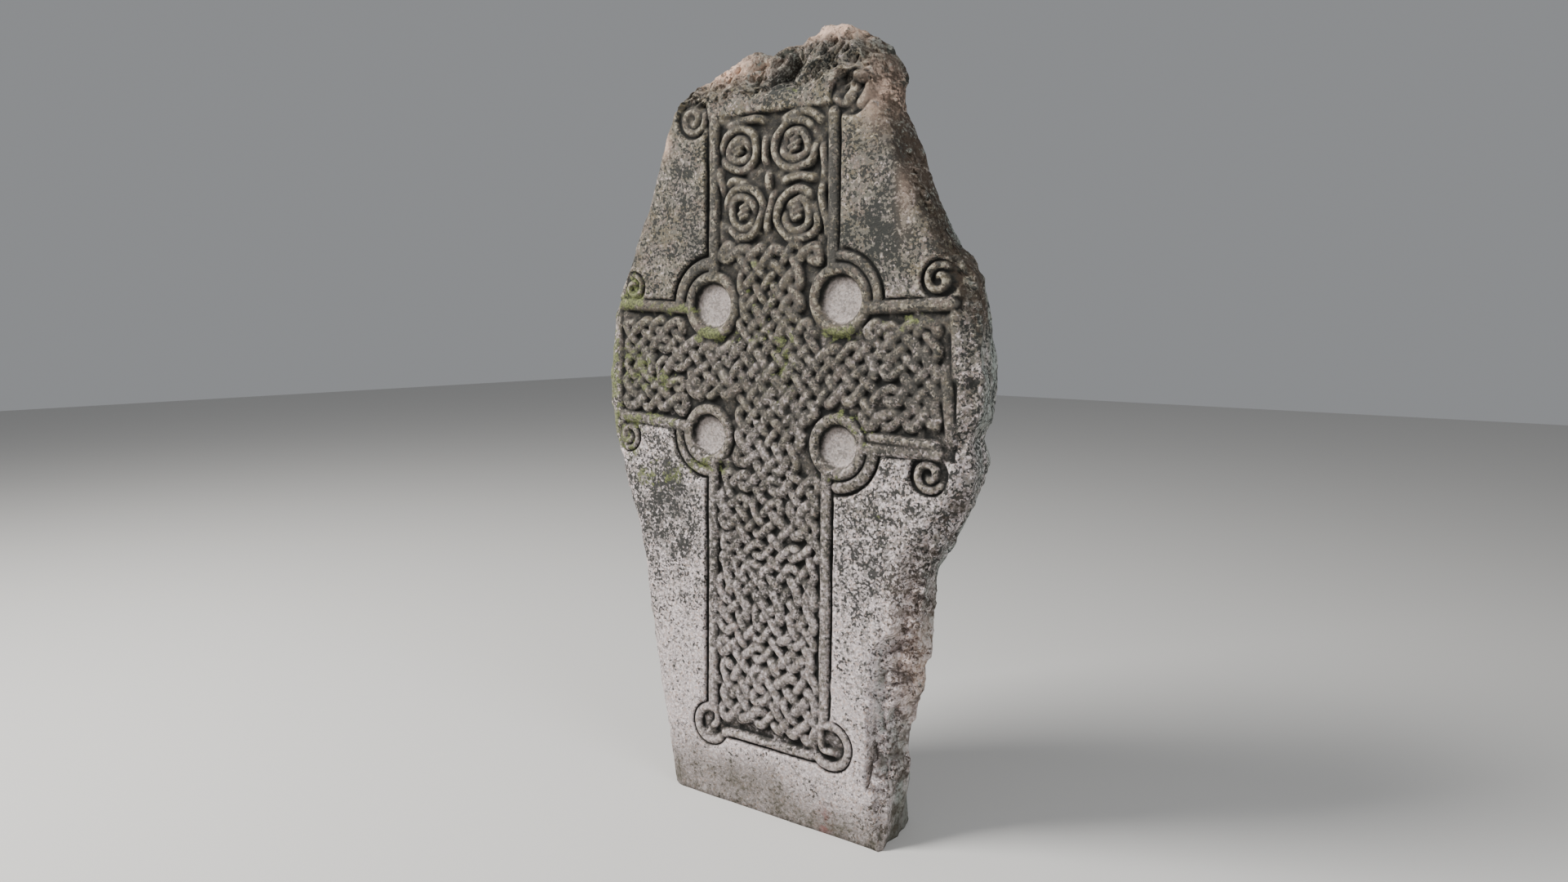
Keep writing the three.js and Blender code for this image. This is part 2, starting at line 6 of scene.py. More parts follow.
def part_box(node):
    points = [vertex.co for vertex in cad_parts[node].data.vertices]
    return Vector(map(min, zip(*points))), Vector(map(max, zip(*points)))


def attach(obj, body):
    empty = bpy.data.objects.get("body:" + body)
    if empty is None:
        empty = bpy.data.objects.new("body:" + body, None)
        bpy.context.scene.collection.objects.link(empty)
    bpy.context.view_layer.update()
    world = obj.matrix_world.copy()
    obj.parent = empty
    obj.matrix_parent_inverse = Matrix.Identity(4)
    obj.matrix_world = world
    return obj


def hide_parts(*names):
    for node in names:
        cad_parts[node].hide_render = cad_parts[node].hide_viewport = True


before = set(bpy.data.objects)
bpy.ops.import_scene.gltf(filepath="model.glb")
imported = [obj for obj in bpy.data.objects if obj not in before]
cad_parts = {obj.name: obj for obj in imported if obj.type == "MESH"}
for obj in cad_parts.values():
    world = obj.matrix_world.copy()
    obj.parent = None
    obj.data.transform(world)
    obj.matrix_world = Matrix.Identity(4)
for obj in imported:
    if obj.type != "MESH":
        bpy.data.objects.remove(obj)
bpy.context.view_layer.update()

# The stone itself: one upright boulder of pale pinkish granite, split and dressed flat in front and
# left rough on its sides, top and back. While it is shaped, x = 0 is the axis of the cross, y = 0 the
# dressed face and z = 0 the foot, in metres; at the end it moves onto the frame's box.

THICKNESS = 0.205
THINNING = 0.16  # share of the thickness that is lost between the foot and the top
BELLY = 0.014  # how far the back swells in its middle
BACK_INSET = 0.030  # the back is narrower than the front on each side
BACK_ROUND = 0.028  # how far the back's edges are rounded off, and from how far in
BACK_ROUND_REACH = 0.07
ARRIS = 0.016  # how far the worn left edge of the face falls back, and from how far in
ARRIS_REACH = 0.034
SHOULDER = 1.790  # the side edges end here and the top edge starts
BREAK_HEIGHT = 1.757  # the dressed face ends about here and the break above it slopes back
BREAK_WANDER = 0.022
TOP_RECEDE = 0.078  # how far the broken top leans back from the face
TOP_CREST = 0.014  # how far the top swells between its front and back edges
TOP_DROP = 0.036  # how far the top falls towards the back
FACE_ROUGH = 0.0010  # size of the random knocks on the dressed face
WORN_ROUGH = 0.005  # what its worn edges add to them
SIDE_ROUGH = 0.0080  # their size on the other sides
KNOCK = 0.07  # length of the largest knocks
KNOCK_LAYERS = 5

# Front edge of the stone on the left and on the right, as (height, x), from the foot upwards
LEFT_EDGE = np.array([
    (0, -0.304), (0.126, -0.324), (0.204, -0.346), (0.369, -0.376), (0.597, -0.413), (0.747, -0.450),
    (0.869, -0.493), (0.954, -0.519), (1.011, -0.533), (1.126, -0.527), (1.261, -0.512), (1.340, -0.479),
    (1.411, -0.443), (1.490, -0.407), (1.583, -0.372), (1.661, -0.343), (1.733, -0.314), (1.790, -0.279),
])
RIGHT_EDGE = np.array([
    (0, 0.340), (0.120, 0.342), (0.200, 0.337), (0.290, 0.324), (0.370, 0.339), (0.440, 0.360),
    (0.510, 0.388), (0.590, 0.404), (0.660, 0.419), (0.730, 0.456), (0.800, 0.492), (0.880, 0.531),
    (0.930, 0.536), (0.978, 0.522), (1.030, 0.541), (1.110, 0.552), (1.190, 0.543), (1.270, 0.535),
    (1.330, 0.515), (1.385, 0.476), (1.450, 0.432), (1.530, 0.389), (1.620, 0.350), (1.700, 0.318),
    (1.790, 0.290),
])
# How far the broken right flank stands out beyond its front edge, as (height, reach), and the share of the
# depth at which it is back in line with that edge
RIGHT_FLANK = np.array([
    (0, -0.010), (0.150, 0.004), (0.224, 0.020), (0.300, 0.038), (0.470, 0.034), (0.567, 0.010),
    (0.700, -0.006), (0.900, -0.012), (1.100, -0.008), (1.240, -0.012), (1.450, -0.004), (1.600, 0.006),
    (1.790, -0.010),
])
FLANK_END = 0.9
# Broken top, as (share of the width, height)
TOP_EDGE = np.array([
    (0, 1.790), (0.07, 1.831), (0.18, 1.861), (0.32, 1.889), (0.41, 1.879), (0.52, 1.886), (0.6, 1.894),
    (0.67, 1.916), (0.75, 1.914), (0.84, 1.900), (0.93, 1.868), (1, 1.790),
])
# How far in from the right edge the front is broken away, how deep, and how craggy it is, by height
RIGHT_BREAK = np.array([
    (0, 0.018), (0.15, 0.030), (0.30, 0.048), (0.55, 0.056), (0.72, 0.050), (0.85, 0.030), (1.2, 0.030),
    (1.4, 0.040), (1.79, 0.060),
])
RIGHT_FALL = np.array([
    (0, 0.012), (0.15, 0.022), (0.30, 0.036), (0.60, 0.036), (0.75, 0.026), (1.0, 0.016), (1.79, 0.020),
])
RIGHT_CRAGS = np.array([
    (0, 0.006), (0.12, 0.014), (0.22, 0.030), (0.65, 0.034), (0.80, 0.014), (1.2, 0.009), (1.4, 0.015),
    (1.79, 0.020),
])
TOP_CRAGS = 0.026
TOP_LEAN = 0.6
LARGE_CRAG, SMALL_CRAG, TOP_FOLD, CRUMB_SIZE = 0.085, 0.036, 0.05, 0.028
# The broken upper right corner: where it starts, and how far it falls back per metre across and up
CORNER_X, CORNER_Z, CORNER_ACROSS, CORNER_UP = 0.262, 1.725, 0.63, 0.315
# Hollows in the break at the top: x, z, reach across, reach up, depth
TOP_DENTS = ((0.030, 1.805, 0.055, 0.035, 0.014), (0.150, 1.830, 0.030, 0.040, 0.010),
             (-0.060, 1.800, 0.030, 0.025, 0.008))
# The block that is cracking off the right edge near the foot: its left side, its bottom and its top
BLOCK_X, BLOCK_LOW, BLOCK_HIGH = 0.297, 0.140, 0.268
BLOCK_STEP = 0.005
CRACK_WIDTH = 0.0060
CRACK_DEPTH = 0.018
CRACK_WANDER = 0.014
# Height of the crumbs that the broken corner and the loose block are flaking into
CRUMB = 0.0085

NOISE_CELLS = 32
random_cells = np.random.default_rng(11).uniform(-1, 1, (NOISE_CELLS, NOISE_CELLS, NOISE_CELLS))


def read_off(table, at):
    """Straight-line interpolation in a table of (position, value) rows."""
    return np.interp(at, table[:, 0], table[:, 1])


def ease(low, high, value):
    """0 below low, 1 above high, and 3t² - 2t³ of the share t between them."""
    share = np.clip((value - low) / (high - low), 0, 1)
    return share * share * (3 - 2 * share)


def roughness(x, y, z, size, layers=3):
    """Smooth random numbers of about -1 to 1: a lattice of random values, size apart, blended between its
    eight nearest by ease; each further layer has half the size and half the strength."""
    total = np.zeros(np.broadcast(x, y, z).shape)
    for layer in range(layers):
        scale = size / 2**layer
        cells = []
        for axis, value in enumerate((x, y, z)):
            place = np.asarray(value) / scale + 7.3 * layer + 2.1 * axis
            low = np.floor(place).astype(np.int32)
            share = place - low
            cells.append((low % NOISE_CELLS, (low + 1) % NOISE_CELLS, share * share * (3 - 2 * share)))
        (x0, x1, tx), (y0, y1, ty), (z0, z1, tz) = cells
        near = random_cells[x0, y0, z0] * (1 - tx) + random_cells[x1, y0, z0] * tx
        far = random_cells[x0, y1, z0] * (1 - tx) + random_cells[x1, y1, z0] * tx
        below = near * (1 - ty) + far * ty
        near = random_cells[x0, y0, z1] * (1 - tx) + random_cells[x1, y0, z1] * tx
        far = random_cells[x0, y1, z1] * (1 - tx) + random_cells[x1, y1, z1] * tx
        above = near * (1 - ty) + far * ty
        total += (below * (1 - tz) + above * tz) / 2**layer
    return total


def crags(x, y, z, size):
    """Broken stone: sharp ridges and hollows of about -1 to 1, from 1 - 2|n| of two sizes of roughness."""
    coarse = 1 - 2 * np.abs(roughness(x, y, z, size, 2))
    fine = 1 - 2 * np.abs(roughness(x + 1.7, y, z, size / 3, 2))
    return 0.65 * coarse + 0.35 * fine


def patches(x, z, spots):
    """The sum of soft round patches, each (x, z, reach across, reach up, strength)."""
    total = np.zeros(np.broadcast(x, z).shape)
    for spot_x, spot_z, across, up, strength in spots:
        total += strength * np.exp(-((x - spot_x) / across) ** 2 - ((z - spot_z) / up) ** 2)
    return total


def block_cracks(x, z):
    """Up to 1 in the middle of the cracks down the left side and along the bottom of the loose block, and 0
    beyond; a slow roughness bends them and closes them in places."""
    wander = CRACK_WANDER * roughness(x, 0.4, z, 0.05, 4)
    gape = 0.35 + 0.65 * ease(-0.4, 0.2, roughness(x, 3.4, z, 0.045, 2))
    down = np.exp(-((x - BLOCK_X - wander) / CRACK_WIDTH) ** 2)
    down = down * ease(BLOCK_LOW - 0.01, BLOCK_LOW, z) * (1 - ease(BLOCK_HIGH - 0.04, BLOCK_HIGH + 0.04, z))
    under = np.exp(-((z - BLOCK_LOW - wander) / CRACK_WIDTH) ** 2) * ease(BLOCK_X - 0.004, BLOCK_X, x)
    return gape * np.maximum(down, under)


def edge_facets(x, y, z):
    """The broken right edge: large crags, less smaller ones, which makes lumps with sharp creases."""
    return 0.7 * crags(x, y, z, LARGE_CRAG) - 0.6 * crags(x + 3.3, y, 1.3 * z, SMALL_CRAG)


def corner_fall(x, z):
    """How far the broken upper right corner has fallen back: 0 up to a slanting line, then even slopes."""
    return np.maximum(0, (x - CORNER_X) * CORNER_ACROSS + (z - CORNER_Z) * CORNER_UP)


def crumbs(x, y, z):
    """Crumbling stone: lumps flatter than wide, with sharp creases of -1 between them."""
    return -crags(x, y + 4.1, 1.4 * z, CRUMB_SIZE)


def top_folds(x, y, z):
    """The break at the top: crags drawn out along folds that lean to the right."""
    return crags(0.9 * (x - TOP_LEAN * z), y, 0.45 * (z + TOP_LEAN * x), TOP_FOLD)


def stone_point(s, v, d):
    """A point of the stone, with s across, v up and d from front to back. The outline comes from the edge
    tables; the front is level, falls back along its worn edges and above the break, and follows the
    carving, which the next section works out; the back is narrower and bellied; random knocks move all
    sides, the dressed face least, and leave the foot level."""
    left = read_off(LEFT_EDGE, v * SHOULDER)
    right = read_off(RIGHT_EDGE, v * SHOULDER)
    top = read_off(TOP_EDGE, s)
    x = left + (right - left) * s
    z = v * top
    from_left = x - left
    from_right = right - x
    edge = np.minimum(from_left, from_right)
    at_right = ease(0.9, 1, s)

    ragged = BREAK_WANDER * roughness(x, 0.3, 0, 0.09)
    rise = np.clip((z - BREAK_HEIGHT - ragged) / (top - BREAK_HEIGHT + 0.001), 0, 1)
    corner = corner_fall(x, z)
    worn = ARRIS * (1 - np.clip(from_left / ARRIS_REACH, 0, 1)) ** 2
    reach = read_off(RIGHT_BREAK, z) * (1 + 0.45 * roughness(0.2, 0.6, z, KNOCK))
    broken = 1 - np.clip(from_right / reach, 0, 1)
    fall = read_off(RIGHT_FALL, z) * (0.6 * ease(0, 0.3, broken) + 0.6 * broken)
    dents = patches(x, z, TOP_DENTS)
    block = ease(BLOCK_X, BLOCK_X + 0.004, x) * ease(BLOCK_LOW, BLOCK_LOW + 0.006, z)
    block = block * (1 - ease(BLOCK_HIGH - 0.01, BLOCK_HIGH + 0.02, z))
    split = CRACK_DEPTH * block_cracks(x, z)
    front = worn + fall + TOP_RECEDE * rise + corner + dents + split - BLOCK_STEP * block

    rounded = BACK_ROUND * (1 - np.clip(edge / BACK_ROUND_REACH, 0, 1)) ** 2
    back = THICKNESS * (1 - THINNING * v) + BELLY * np.sin(np.pi * s) * np.sin(np.pi * v) - rounded
    y = front + (back - front) * d
    inset = BACK_INSET * (1 - 2 * s) * np.maximum(0, 2 * d - 1)
    bulge = read_off(RIGHT_FLANK, z) * np.sin(np.pi * np.minimum(1, d / FLANK_END)) * at_right
    lift = (TOP_CREST * np.sin(np.pi * d) - TOP_DROP * d) * ease(0.88, 1, v)
    x = x + inset + bulge
    z = z + lift

    right_side = np.maximum(broken, ease(0.5, 1, s) * ease(0, 0.05, d)) * (1 - ease(0.55, 0.9, d))
    jag = read_off(RIGHT_CRAGS, z) * right_side * edge_facets(x, y, z)
    folds = TOP_CRAGS * ease(0, 0.3, rise) * (1 - 0.6 * ease(0.7, 1, rise)) * (1 - 0.5 * d)
    jag = jag + folds * top_folds(x, y, z)
    jag = jag + CRUMB * np.maximum(ease(0, 0.02, corner), block) * crumbs(x, y, z)
    calm = 1 - 0.85 * ease(0.84, 0.96, v) * ease(0.84, 0.96, s)
    forward = jag * (0.4 + 0.6 * calm) * (1 - 0.6 * ease(0, 0.3, d))

    tired = np.maximum(1 - np.clip(edge / 0.03, 0, 1), np.maximum(0.9 * rise, 0.8 * broken))
    face = FACE_ROUGH + WORN_ROUGH * tired
    rough = face + (SIDE_ROUGH - face) * ease(0, 0.12, d)
    shift_x = rough * roughness(x, y, z + 3.1, KNOCK, KNOCK_LAYERS) + 0.3 * calm * jag * at_right
    shift_y = rough * roughness(x + 5.7, y, z, KNOCK, KNOCK_LAYERS) - forward
    shift_z = rough * roughness(x, y + 9.2, z, KNOCK, KNOCK_LAYERS) + 0.3 * calm * jag * ease(0.97, 1, v)
    shift_z = shift_z * ease(0, 0.04, z)
    cut = np.where(d == 0, sampled(carving, x, z), 0)
    inner = ease(0, 0.02, edge)
    return np.stack([x + shift_x * (1 - inner * (d == 0)), y - cut + shift_y, z + shift_z], axis=-1)


# The carving: a ringed cross cut into the dressed face with punch and chisel. Its ground is sunk, and roll
# mouldings, rings, scrolls and plaited strands are left standing in it, rounded and worn by the weather.
# It is worked out as a height over the face on a fine raster, which the front of the stone then follows.

FLOOR = 0.012  # depth of the sunk ground between the strands
PROUD = 0.001  # the carving stands this far out of the dressed face
WALL = 0.008  # width of the slope at the edge of the sunk ground
LUMP = 0.0075  # height of the lumps that the chisel left in it, and their length
LUMP_SIZE = 0.032
ROLL = 0.031  # width of the roll moulding that frames the cross, and how far it strays from a straight line
ROLL_STRAY = 0.0016
GROOVE = 0.013  # sunk margin outside the frame
NARROW_GROOVE = 0.006  # sunk margin on the lower right, along the arms, and round rings and scrolls
SHAFT_HALF = 0.172
SHAFT_FOOT = 0.163
SHAFT_HEAD = 1.732
ARM_MIDDLE = 1.12
STRAND = 0.0265  # width of an interlace strand
FINE_STRAND = 0.0215  # width of the strands in the coil knots and of their links
STRAY = 0.0095  # how far the strands stray from the lattice in slow bends, and the length of those bends
STRAY_SIZE = 0.07
WAVER = 0.0035  # how far single crossings are out of place
DIP = 0.016  # length over which a strand dives under another, and over which other ribs end
RING_DIP = 0.012
ROLL_DIP = 0.010
SCROLL_DIP = 0.006
TWIST_DIP = 0.003
PIXEL = 0.0015  # spacing of the raster

raster_x = np.arange(-0.57, 0.59, PIXEL)
raster_z = np.arange(0.12, 1.83, PIXEL)
grid_x, grid_z = np.meshgrid(raster_x, raster_z)

# Frame rolls of the shaft: x, and the height at which each ends, in the order of the hollows
SHAFT_ROLLS = ((-0.172, 1.753), (0.176, 1.708), (-0.172, 0.245), (0.167, 0.290))
# Frame rolls of the arms: inner x, z, outer x, z
ARM_ROLLS = ((-0.178, 1.268, -0.484, 1.279), (0.197, 1.271, 0.478, 1.279), (-0.190, 0.966, -0.484, 0.984),
             (0.195, 0.951, 0.452, 0.952))
ARM_ENDS = (-0.497, 0.481)
# Rolls that stand alone: the ends of the arms, the second roll under the right arm, and the foot bar
END_ROLLS = (
    (0.031, ((-0.497, 0.990), (-0.497, 1.268))),
    (0.026, ((0.487, 1.262), (0.494, 1.185), (0.496, 1.115))),
    (0.031, ((0.468, 1.140), (0.475, 1.085), (0.484, 1.015), (0.487, 0.978))),
    (0.023, ((0.277, 0.977), (0.450, 0.971))),
    (0.024, ((-0.140, 0.174), (-0.100, 0.183), (0.142, 0.183))),
)
# Hollows in the armpits: middle x, z, floor radius, radius of the quarter ring, its first and last degree
HOLLOWS = ((-0.178, 1.275, 0.058, 0.120, 90, 180), (0.197, 1.289, 0.058, 0.112, 0, 90),
           (-0.190, 0.950, 0.052, 0.106, 180, 270), (0.195, 0.948, 0.052, 0.110, 270, 360))
HOLLOW_DEPTH = 0.021
HOLLOW_SLOPE = 0.009
RING = 0.027
RING_GAP = 0.002
# Scrolls: middle x, z, outer radius, width of the strand, start in degrees, turns, how much of it is left
SCROLLS = ((-0.238, 1.730, 0.038, 0.017, 20, -1.35, 0.75), (0.219, 1.750, 0.043, 0.018, 190, 0.32, 0.8),
           (-0.440, 1.321, 0.032, 0.015, 100, -1.15, 0.9), (0.447, 1.331, 0.034, 0.017, 60, 1.12, 1.0),
           (-0.460, 0.930, 0.034, 0.015, 250, 1.3, 0.9), (0.434, 0.904, 0.038, 0.019, 330, -1.2, 1.0))
SCROLL_EYE = 0.26  # share of the radius at which the scroll ends
# Rings at the foot of the shaft: middle x, z, radius, first and last degree, and the hook inside each
FOOT_RINGS = ((-0.179, 0.194, 0.044, -35, -300, ((-0.164, 0.250), (-0.159, 0.208), (-0.176, 0.186))),
              (0.188, 0.221, 0.051, 215, 540, ((0.163, 0.296), (0.163, 0.214), (0.196, 0.206))))
FOOT_STRAND = 0.024
HOOK_STRAND = 0.018
# Coil knots in the head: middle x, z, radius
COILS = ((-0.098, 1.650, 0.049), (0.067, 1.648, 0.056), (-0.079, 1.500, 0.058), (0.076, 1.492, 0.057))
COIL_GAP = 0.0215
# The first degree of a coil's outer strand on the left and on the right, the degrees that each strand sweeps,
# and how many degrees further on the inner one starts
COIL_STARTS = (215, 35)
COIL_SWEEP = 320
COIL_LAG = 150
# The twist in the middle of a coil: rows of short leaning strands, as height over the middle and half length
TWIST = ((-0.0125, 0.011), (0.0, 0.016), (0.0125, 0.011))
TWIST_STRAND = 0.0130
TWIST_LEAN = 0.45
LINKS = (
    ((-0.130, 1.707), (-0.080, 1.715), (-0.024, 1.708)),
    ((0.033, 1.708), (0.072, 1.718), (0.110, 1.714), (0.138, 1.692)),
    ((-0.016, 1.672), (-0.016, 1.614)), ((-0.014, 1.588), (-0.012, 1.556)),
    ((-0.132, 1.561), (-0.106, 1.573), (-0.074, 1.570)), ((0.032, 1.566), (0.075, 1.575), (0.122, 1.571)),
    ((0.005, 1.538), (0.0, 1.505), (-0.002, 1.448)), ((-0.149, 1.600), (-0.149, 1.543)),
    ((0.145, 1.640), (0.145, 1.574)), ((0.151, 1.548), (0.151, 1.442)),
)
# The worn scroll at the upper right: a thick curl and the knob that it curls round
HEAVY_CURL = (0.030, ((0.231, 1.786), (0.258, 1.772), (0.264, 1.745), (0.248, 1.722)))
HEAVY_KNOB = (0.027, ((0.214, 1.735), (0.222, 1.758)))
# Places where the relief is worn down: x, z, reach across, reach up, share that is gone
WORN_SPOTS = ((-0.245, 1.735, 0.055, 0.055, 0.40), (-0.505, 1.130, 0.030, 0.170, 0.65),
              (0.140, 1.730, 0.060, 0.020, 0.30), (-0.460, 0.925, 0.040, 0.035, 0.25))


def away(x, z):
    """Distance of every raster point from one point."""
    return np.hypot(grid_x - x, grid_z - z)


def sunk_ground():
    """How far inside the edge of the sunk ground each raster point is: the largest of the distances inside
    the shaft, the arms, the rings and the scrolls."""
    margin = ROLL / 2 + NARROW_GROOVE
    left = SHAFT_HALF + ROLL / 2 + GROOVE
    right = SHAFT_HALF + ROLL / 2 + np.where(grid_z > ARM_MIDDLE, GROOVE, NARROW_GROOVE)
    shaft = np.minimum.reduce([grid_x + left, right - grid_x, grid_z - SHAFT_FOOT, SHAFT_HEAD - grid_z])
    top_left, top_right, low_left, low_right = ARM_ROLLS
    upper = np.interp(grid_x, [top_left[2], top_left[0], top_right[0], top_right[2]],
                      [top_left[3], top_left[1], top_right[1], top_right[3]]) + margin
    lower = np.interp(grid_x, [low_left[2], low_left[0], low_right[0], low_right[2]],
                      [low_left[3], low_left[1], low_right[1], low_right[3]]) - margin
    ends = np.minimum(grid_x - ARM_ENDS[0] + NARROW_GROOVE, ARM_ENDS[1] + margin - grid_x)
    inside = np.maximum(shaft, np.minimum.reduce([ends, upper - grid_z, grid_z - lower]))
    rounds = [(x, z, outer + NARROW_GROOVE) for x, z, _, outer, _, _ in HOLLOWS]
    rounds += [(x, z, radius + strand / 2) for x, z, radius, strand, *_ in SCROLLS]
    rounds += [(x, z, radius + FOOT_STRAND / 2) for x, z, radius, *_ in FOOT_RINGS]
    for x, z, radius in rounds:
        inside = np.maximum(inside, radius + NARROW_GROOVE - away(x, z))
    return inside


def raise_rib(height, line, width, fullness=1.0, dip=0.0):
    """Raise a rounded rib along a line in the height raster. Its section is the root of 1 - t² to the power
    0.8, for the share t of the half width. Over the length dip at each end it sinks to a third."""
    line = np.asarray(line)
    reach = width / 2 + PIXEL
    first_x, first_z = line.min(axis=0) - reach
    last_x, last_z = line.max(axis=0) + reach
    columns = slice(*np.searchsorted(raster_x, (first_x, last_x)))
    rows = slice(*np.searchsorted(raster_z, (first_z, last_z)))
    steps = np.r_[0, np.cumsum(np.hypot(*np.diff(line, axis=0).T))]
    spots = np.linspace(0, steps[-1], max(2, int(steps[-1] / 0.002)))
    x = np.interp(spots, steps, line[:, 0])
    z = np.interp(spots, steps, line[:, 1])
    crown = np.full(len(spots), fullness)
    if dip > 0:
        crown *= 0.34 + 0.66 * ease(0, dip, np.minimum(spots, steps[-1] - spots))
    patch = height[rows, columns]
    patch_x = grid_x[rows, columns]
    patch_z = grid_z[rows, columns]
    for spot in range(len(spots)):
        share = ((patch_x - x[spot]) ** 2 + (patch_z - z[spot]) ** 2) / (width / 2) ** 2
        top = -FLOOR + (FLOOR + PROUD) * crown[spot] * np.sqrt(np.clip(1 - share, 0, 1)) ** 0.8
        np.maximum(patch, top, out=patch)


def long_rib(height, start, end, width, pieces=12):
    """A straight roll, raised in short pieces so that each only touches its own part of the raster. It
    wanders a little from a straight line, as a hand-cut roll does."""
    share = np.linspace(0, 1, pieces * 4 + 1)
    x = start[0] + (end[0] - start[0]) * share
    z = start[1] + (end[1] - start[1]) * share
    stray = ROLL_STRAY * roughness(x, 0, z, 0.12)
    length = np.hypot(end[0] - start[0], end[1] - start[1])
    x = x - stray * (end[1] - start[1]) / length
    z = z + stray * (end[0] - start[0]) / length
    for piece in range(pieces):
        raise_rib(height, np.c_[x, z][piece * 4:piece * 4 + 5], width)


def bow(x, z, radius, first, last, steps=48):
    """Points on an arc round (x, z) between two angles in degrees."""
    turn = np.radians(np.linspace(first, last, steps + 1))
    return np.c_[x + radius * np.cos(turn), z + radius * np.sin(turn)]


def smooth_through(points, closed=False, steps=6):
    """A Catmull-Rom curve through points: each stretch is the cubic whose end slopes are half the step
    between the neighbouring points."""
    points = np.asarray(points)
    if closed:
        padded = np.vstack([points[-1], points, points[:2]])
    else:
        padded = np.vstack([2 * points[0] - points[1], points, 2 * points[-1] - points[-2]])
    before, start, end, after = (padded[k:len(padded) - 3 + k, None] for k in range(4))
    t = np.linspace(0, 1, steps, endpoint=False)[None, :, None]
    curve = 0.5 * (2 * start + (end - before) * t + (2 * before - 5 * start + 4 * end - after) * t**2
                   + (3 * start - before - 3 * end + after) * t**3)
    last = points[:1] if closed else points[-1:]
    return np.vstack([curve.reshape(-1, 2), last])


# The interlace runs diagonally through a lattice of cells: strands cross in the middle of each edge that two
# cells share, over and under by turns, and turn back at the panel's edge and at the breaks in the plait.
# A cell in EYES has its strands turned back above and below it, and one in SPLITS on its left side.
SHAFT_COLUMNS = 6
ARM_COLUMNS = 6
SHAFT_ROWS = 14
ARM_ROWS = 5
NECK_ROWS = 3
LATTICE_ROWS = SHAFT_ROWS + ARM_ROWS + NECK_ROWS
PANEL = (-0.154, 0.150)
ARM_REACH = (-0.479, 0.463)
ROW_HEIGHTS = (0.213, 1.250, 1.425)
ARM_FOOT = ((-0.480, 0.0, 0.463), (1.002, 0.976, 1.000))
EYES = {(2, 0), (0, 3), (2, 3), (4, 3), (0, 8), (2, 8), (4, 8), (1, 11), (3, 11), (-4, 17), (-3, 15), (9, 17),
        (9, 15)}
SPLITS = {(2, 1), (4, 1), (2, 5), (4, 5), (1, 6), (3, 6), (5, 6), (2, 10), (4, 10), (-4, 16), (-2, 15),
          (9, 16), (11, 17)}
# Where a strand turns back: how far short of the edge, and half the width of the turn, in cells
TURN_INSET = 0.25
TURN_HALF = 0.13
RING_MARGIN = 0.008  # least distance of a cell's middle from a ring
RING_CLEAR = 0.001  # least distance of a strand's edge from a ring


def knock(a, b):
    """A repeatable random number from -1 to 1 for a place in the lattice."""
    value = np.sin(a * 127.1 + b * 311.7) * 43758.5453
    return 2 * (value - np.floor(value)) - 1


def lattice_point(i, j):
    """Place of column i and row j, with the small stray of the carver's hand."""
    columns = [-ARM_COLUMNS, 0, SHAFT_COLUMNS, SHAFT_COLUMNS + ARM_COLUMNS]
    x = np.interp(i, columns, [ARM_REACH[0], *PANEL, ARM_REACH[1]])
    rows = [0, SHAFT_ROWS, SHAFT_ROWS + ARM_ROWS, LATTICE_ROWS]
    z = np.interp(j, rows, [ROW_HEIGHTS[0], np.interp(x, *ARM_FOOT), *ROW_HEIGHTS[1:]])
    return np.array([x + WAVER * knock(i, j), z + WAVER * knock(j, i)])


def nearest_ring(place):
    """Middle of the nearest hollow, the distance from it, and the radius of its ring."""
    rings = []
    for x, z, floor, *_ in HOLLOWS:
        rings.append((np.array([x, z]), np.hypot(place[0] - x, place[1] - z), floor + RING))
    return min(rings, key=lambda found: found[1] - found[2])


def in_panel(i, j):
    """Whether a cell is part of the plait: in the shaft or in the arms, and not under a ring."""
    in_shaft = 0 <= i < SHAFT_COLUMNS and 0 <= j < LATTICE_ROWS
    in_arms = -ARM_COLUMNS <= i < SHAFT_COLUMNS + ARM_COLUMNS and SHAFT_ROWS <= j < SHAFT_ROWS + ARM_ROWS
    _, distance, ring = nearest_ring(lattice_point(i + 0.5, j + 0.5))
    return (in_shaft or in_arms) and distance > ring + RING_MARGIN


def turn_at(a, b):
    """What a strand meets in the middle of a cell's edge: nothing, or the way that it turns back."""
    i, j = int(np.floor(a)), int(np.floor(b))
    upright = a == i
    cells = ((i - 1, j), (i, j)) if upright else ((i, j - 1), (i, j))
    if not all(in_panel(*cell) for cell in cells):
        return "sideways" if upright else "upwards"
    if upright:
        return "sideways" if (i, j) in SPLITS else None
    return "upwards" if (i, j) in EYES or (i, j - 1) in EYES else None


def trace_strands():
    """Every strand as the list of places that it passes: (column, row, heading x, heading z, turn, over)."""
    seen = set()
    strands = []
    cells = [(i, j) for i in range(-ARM_COLUMNS, SHAFT_COLUMNS + ARM_COLUMNS) for j in range(LATTICE_ROWS)]
    headings = ((1, 1), (1, -1), (-1, 1), (-1, -1))
    for i, j, heading in [(i, j, heading) for i, j in cells if in_panel(i, j) for heading in headings]:
        across, up = heading
        a = i + (0 if across > 0 else 1)
        b = j + 0.5
        strand = []
        while (a + across / 4, b + up / 4) not in seen:
            seen.add((a + across / 4, b + up / 4))
            a += across / 2
            b += up / 2
            turn = turn_at(a, b)
            strand.append((a, b, across, up, turn, turn is None and (across * up > 0) == (a == np.floor(a))))
            if turn == "sideways":
                across = -across
            if turn == "upwards":
                up = -up
        if strand:
            strands.append(strand)
    return strands


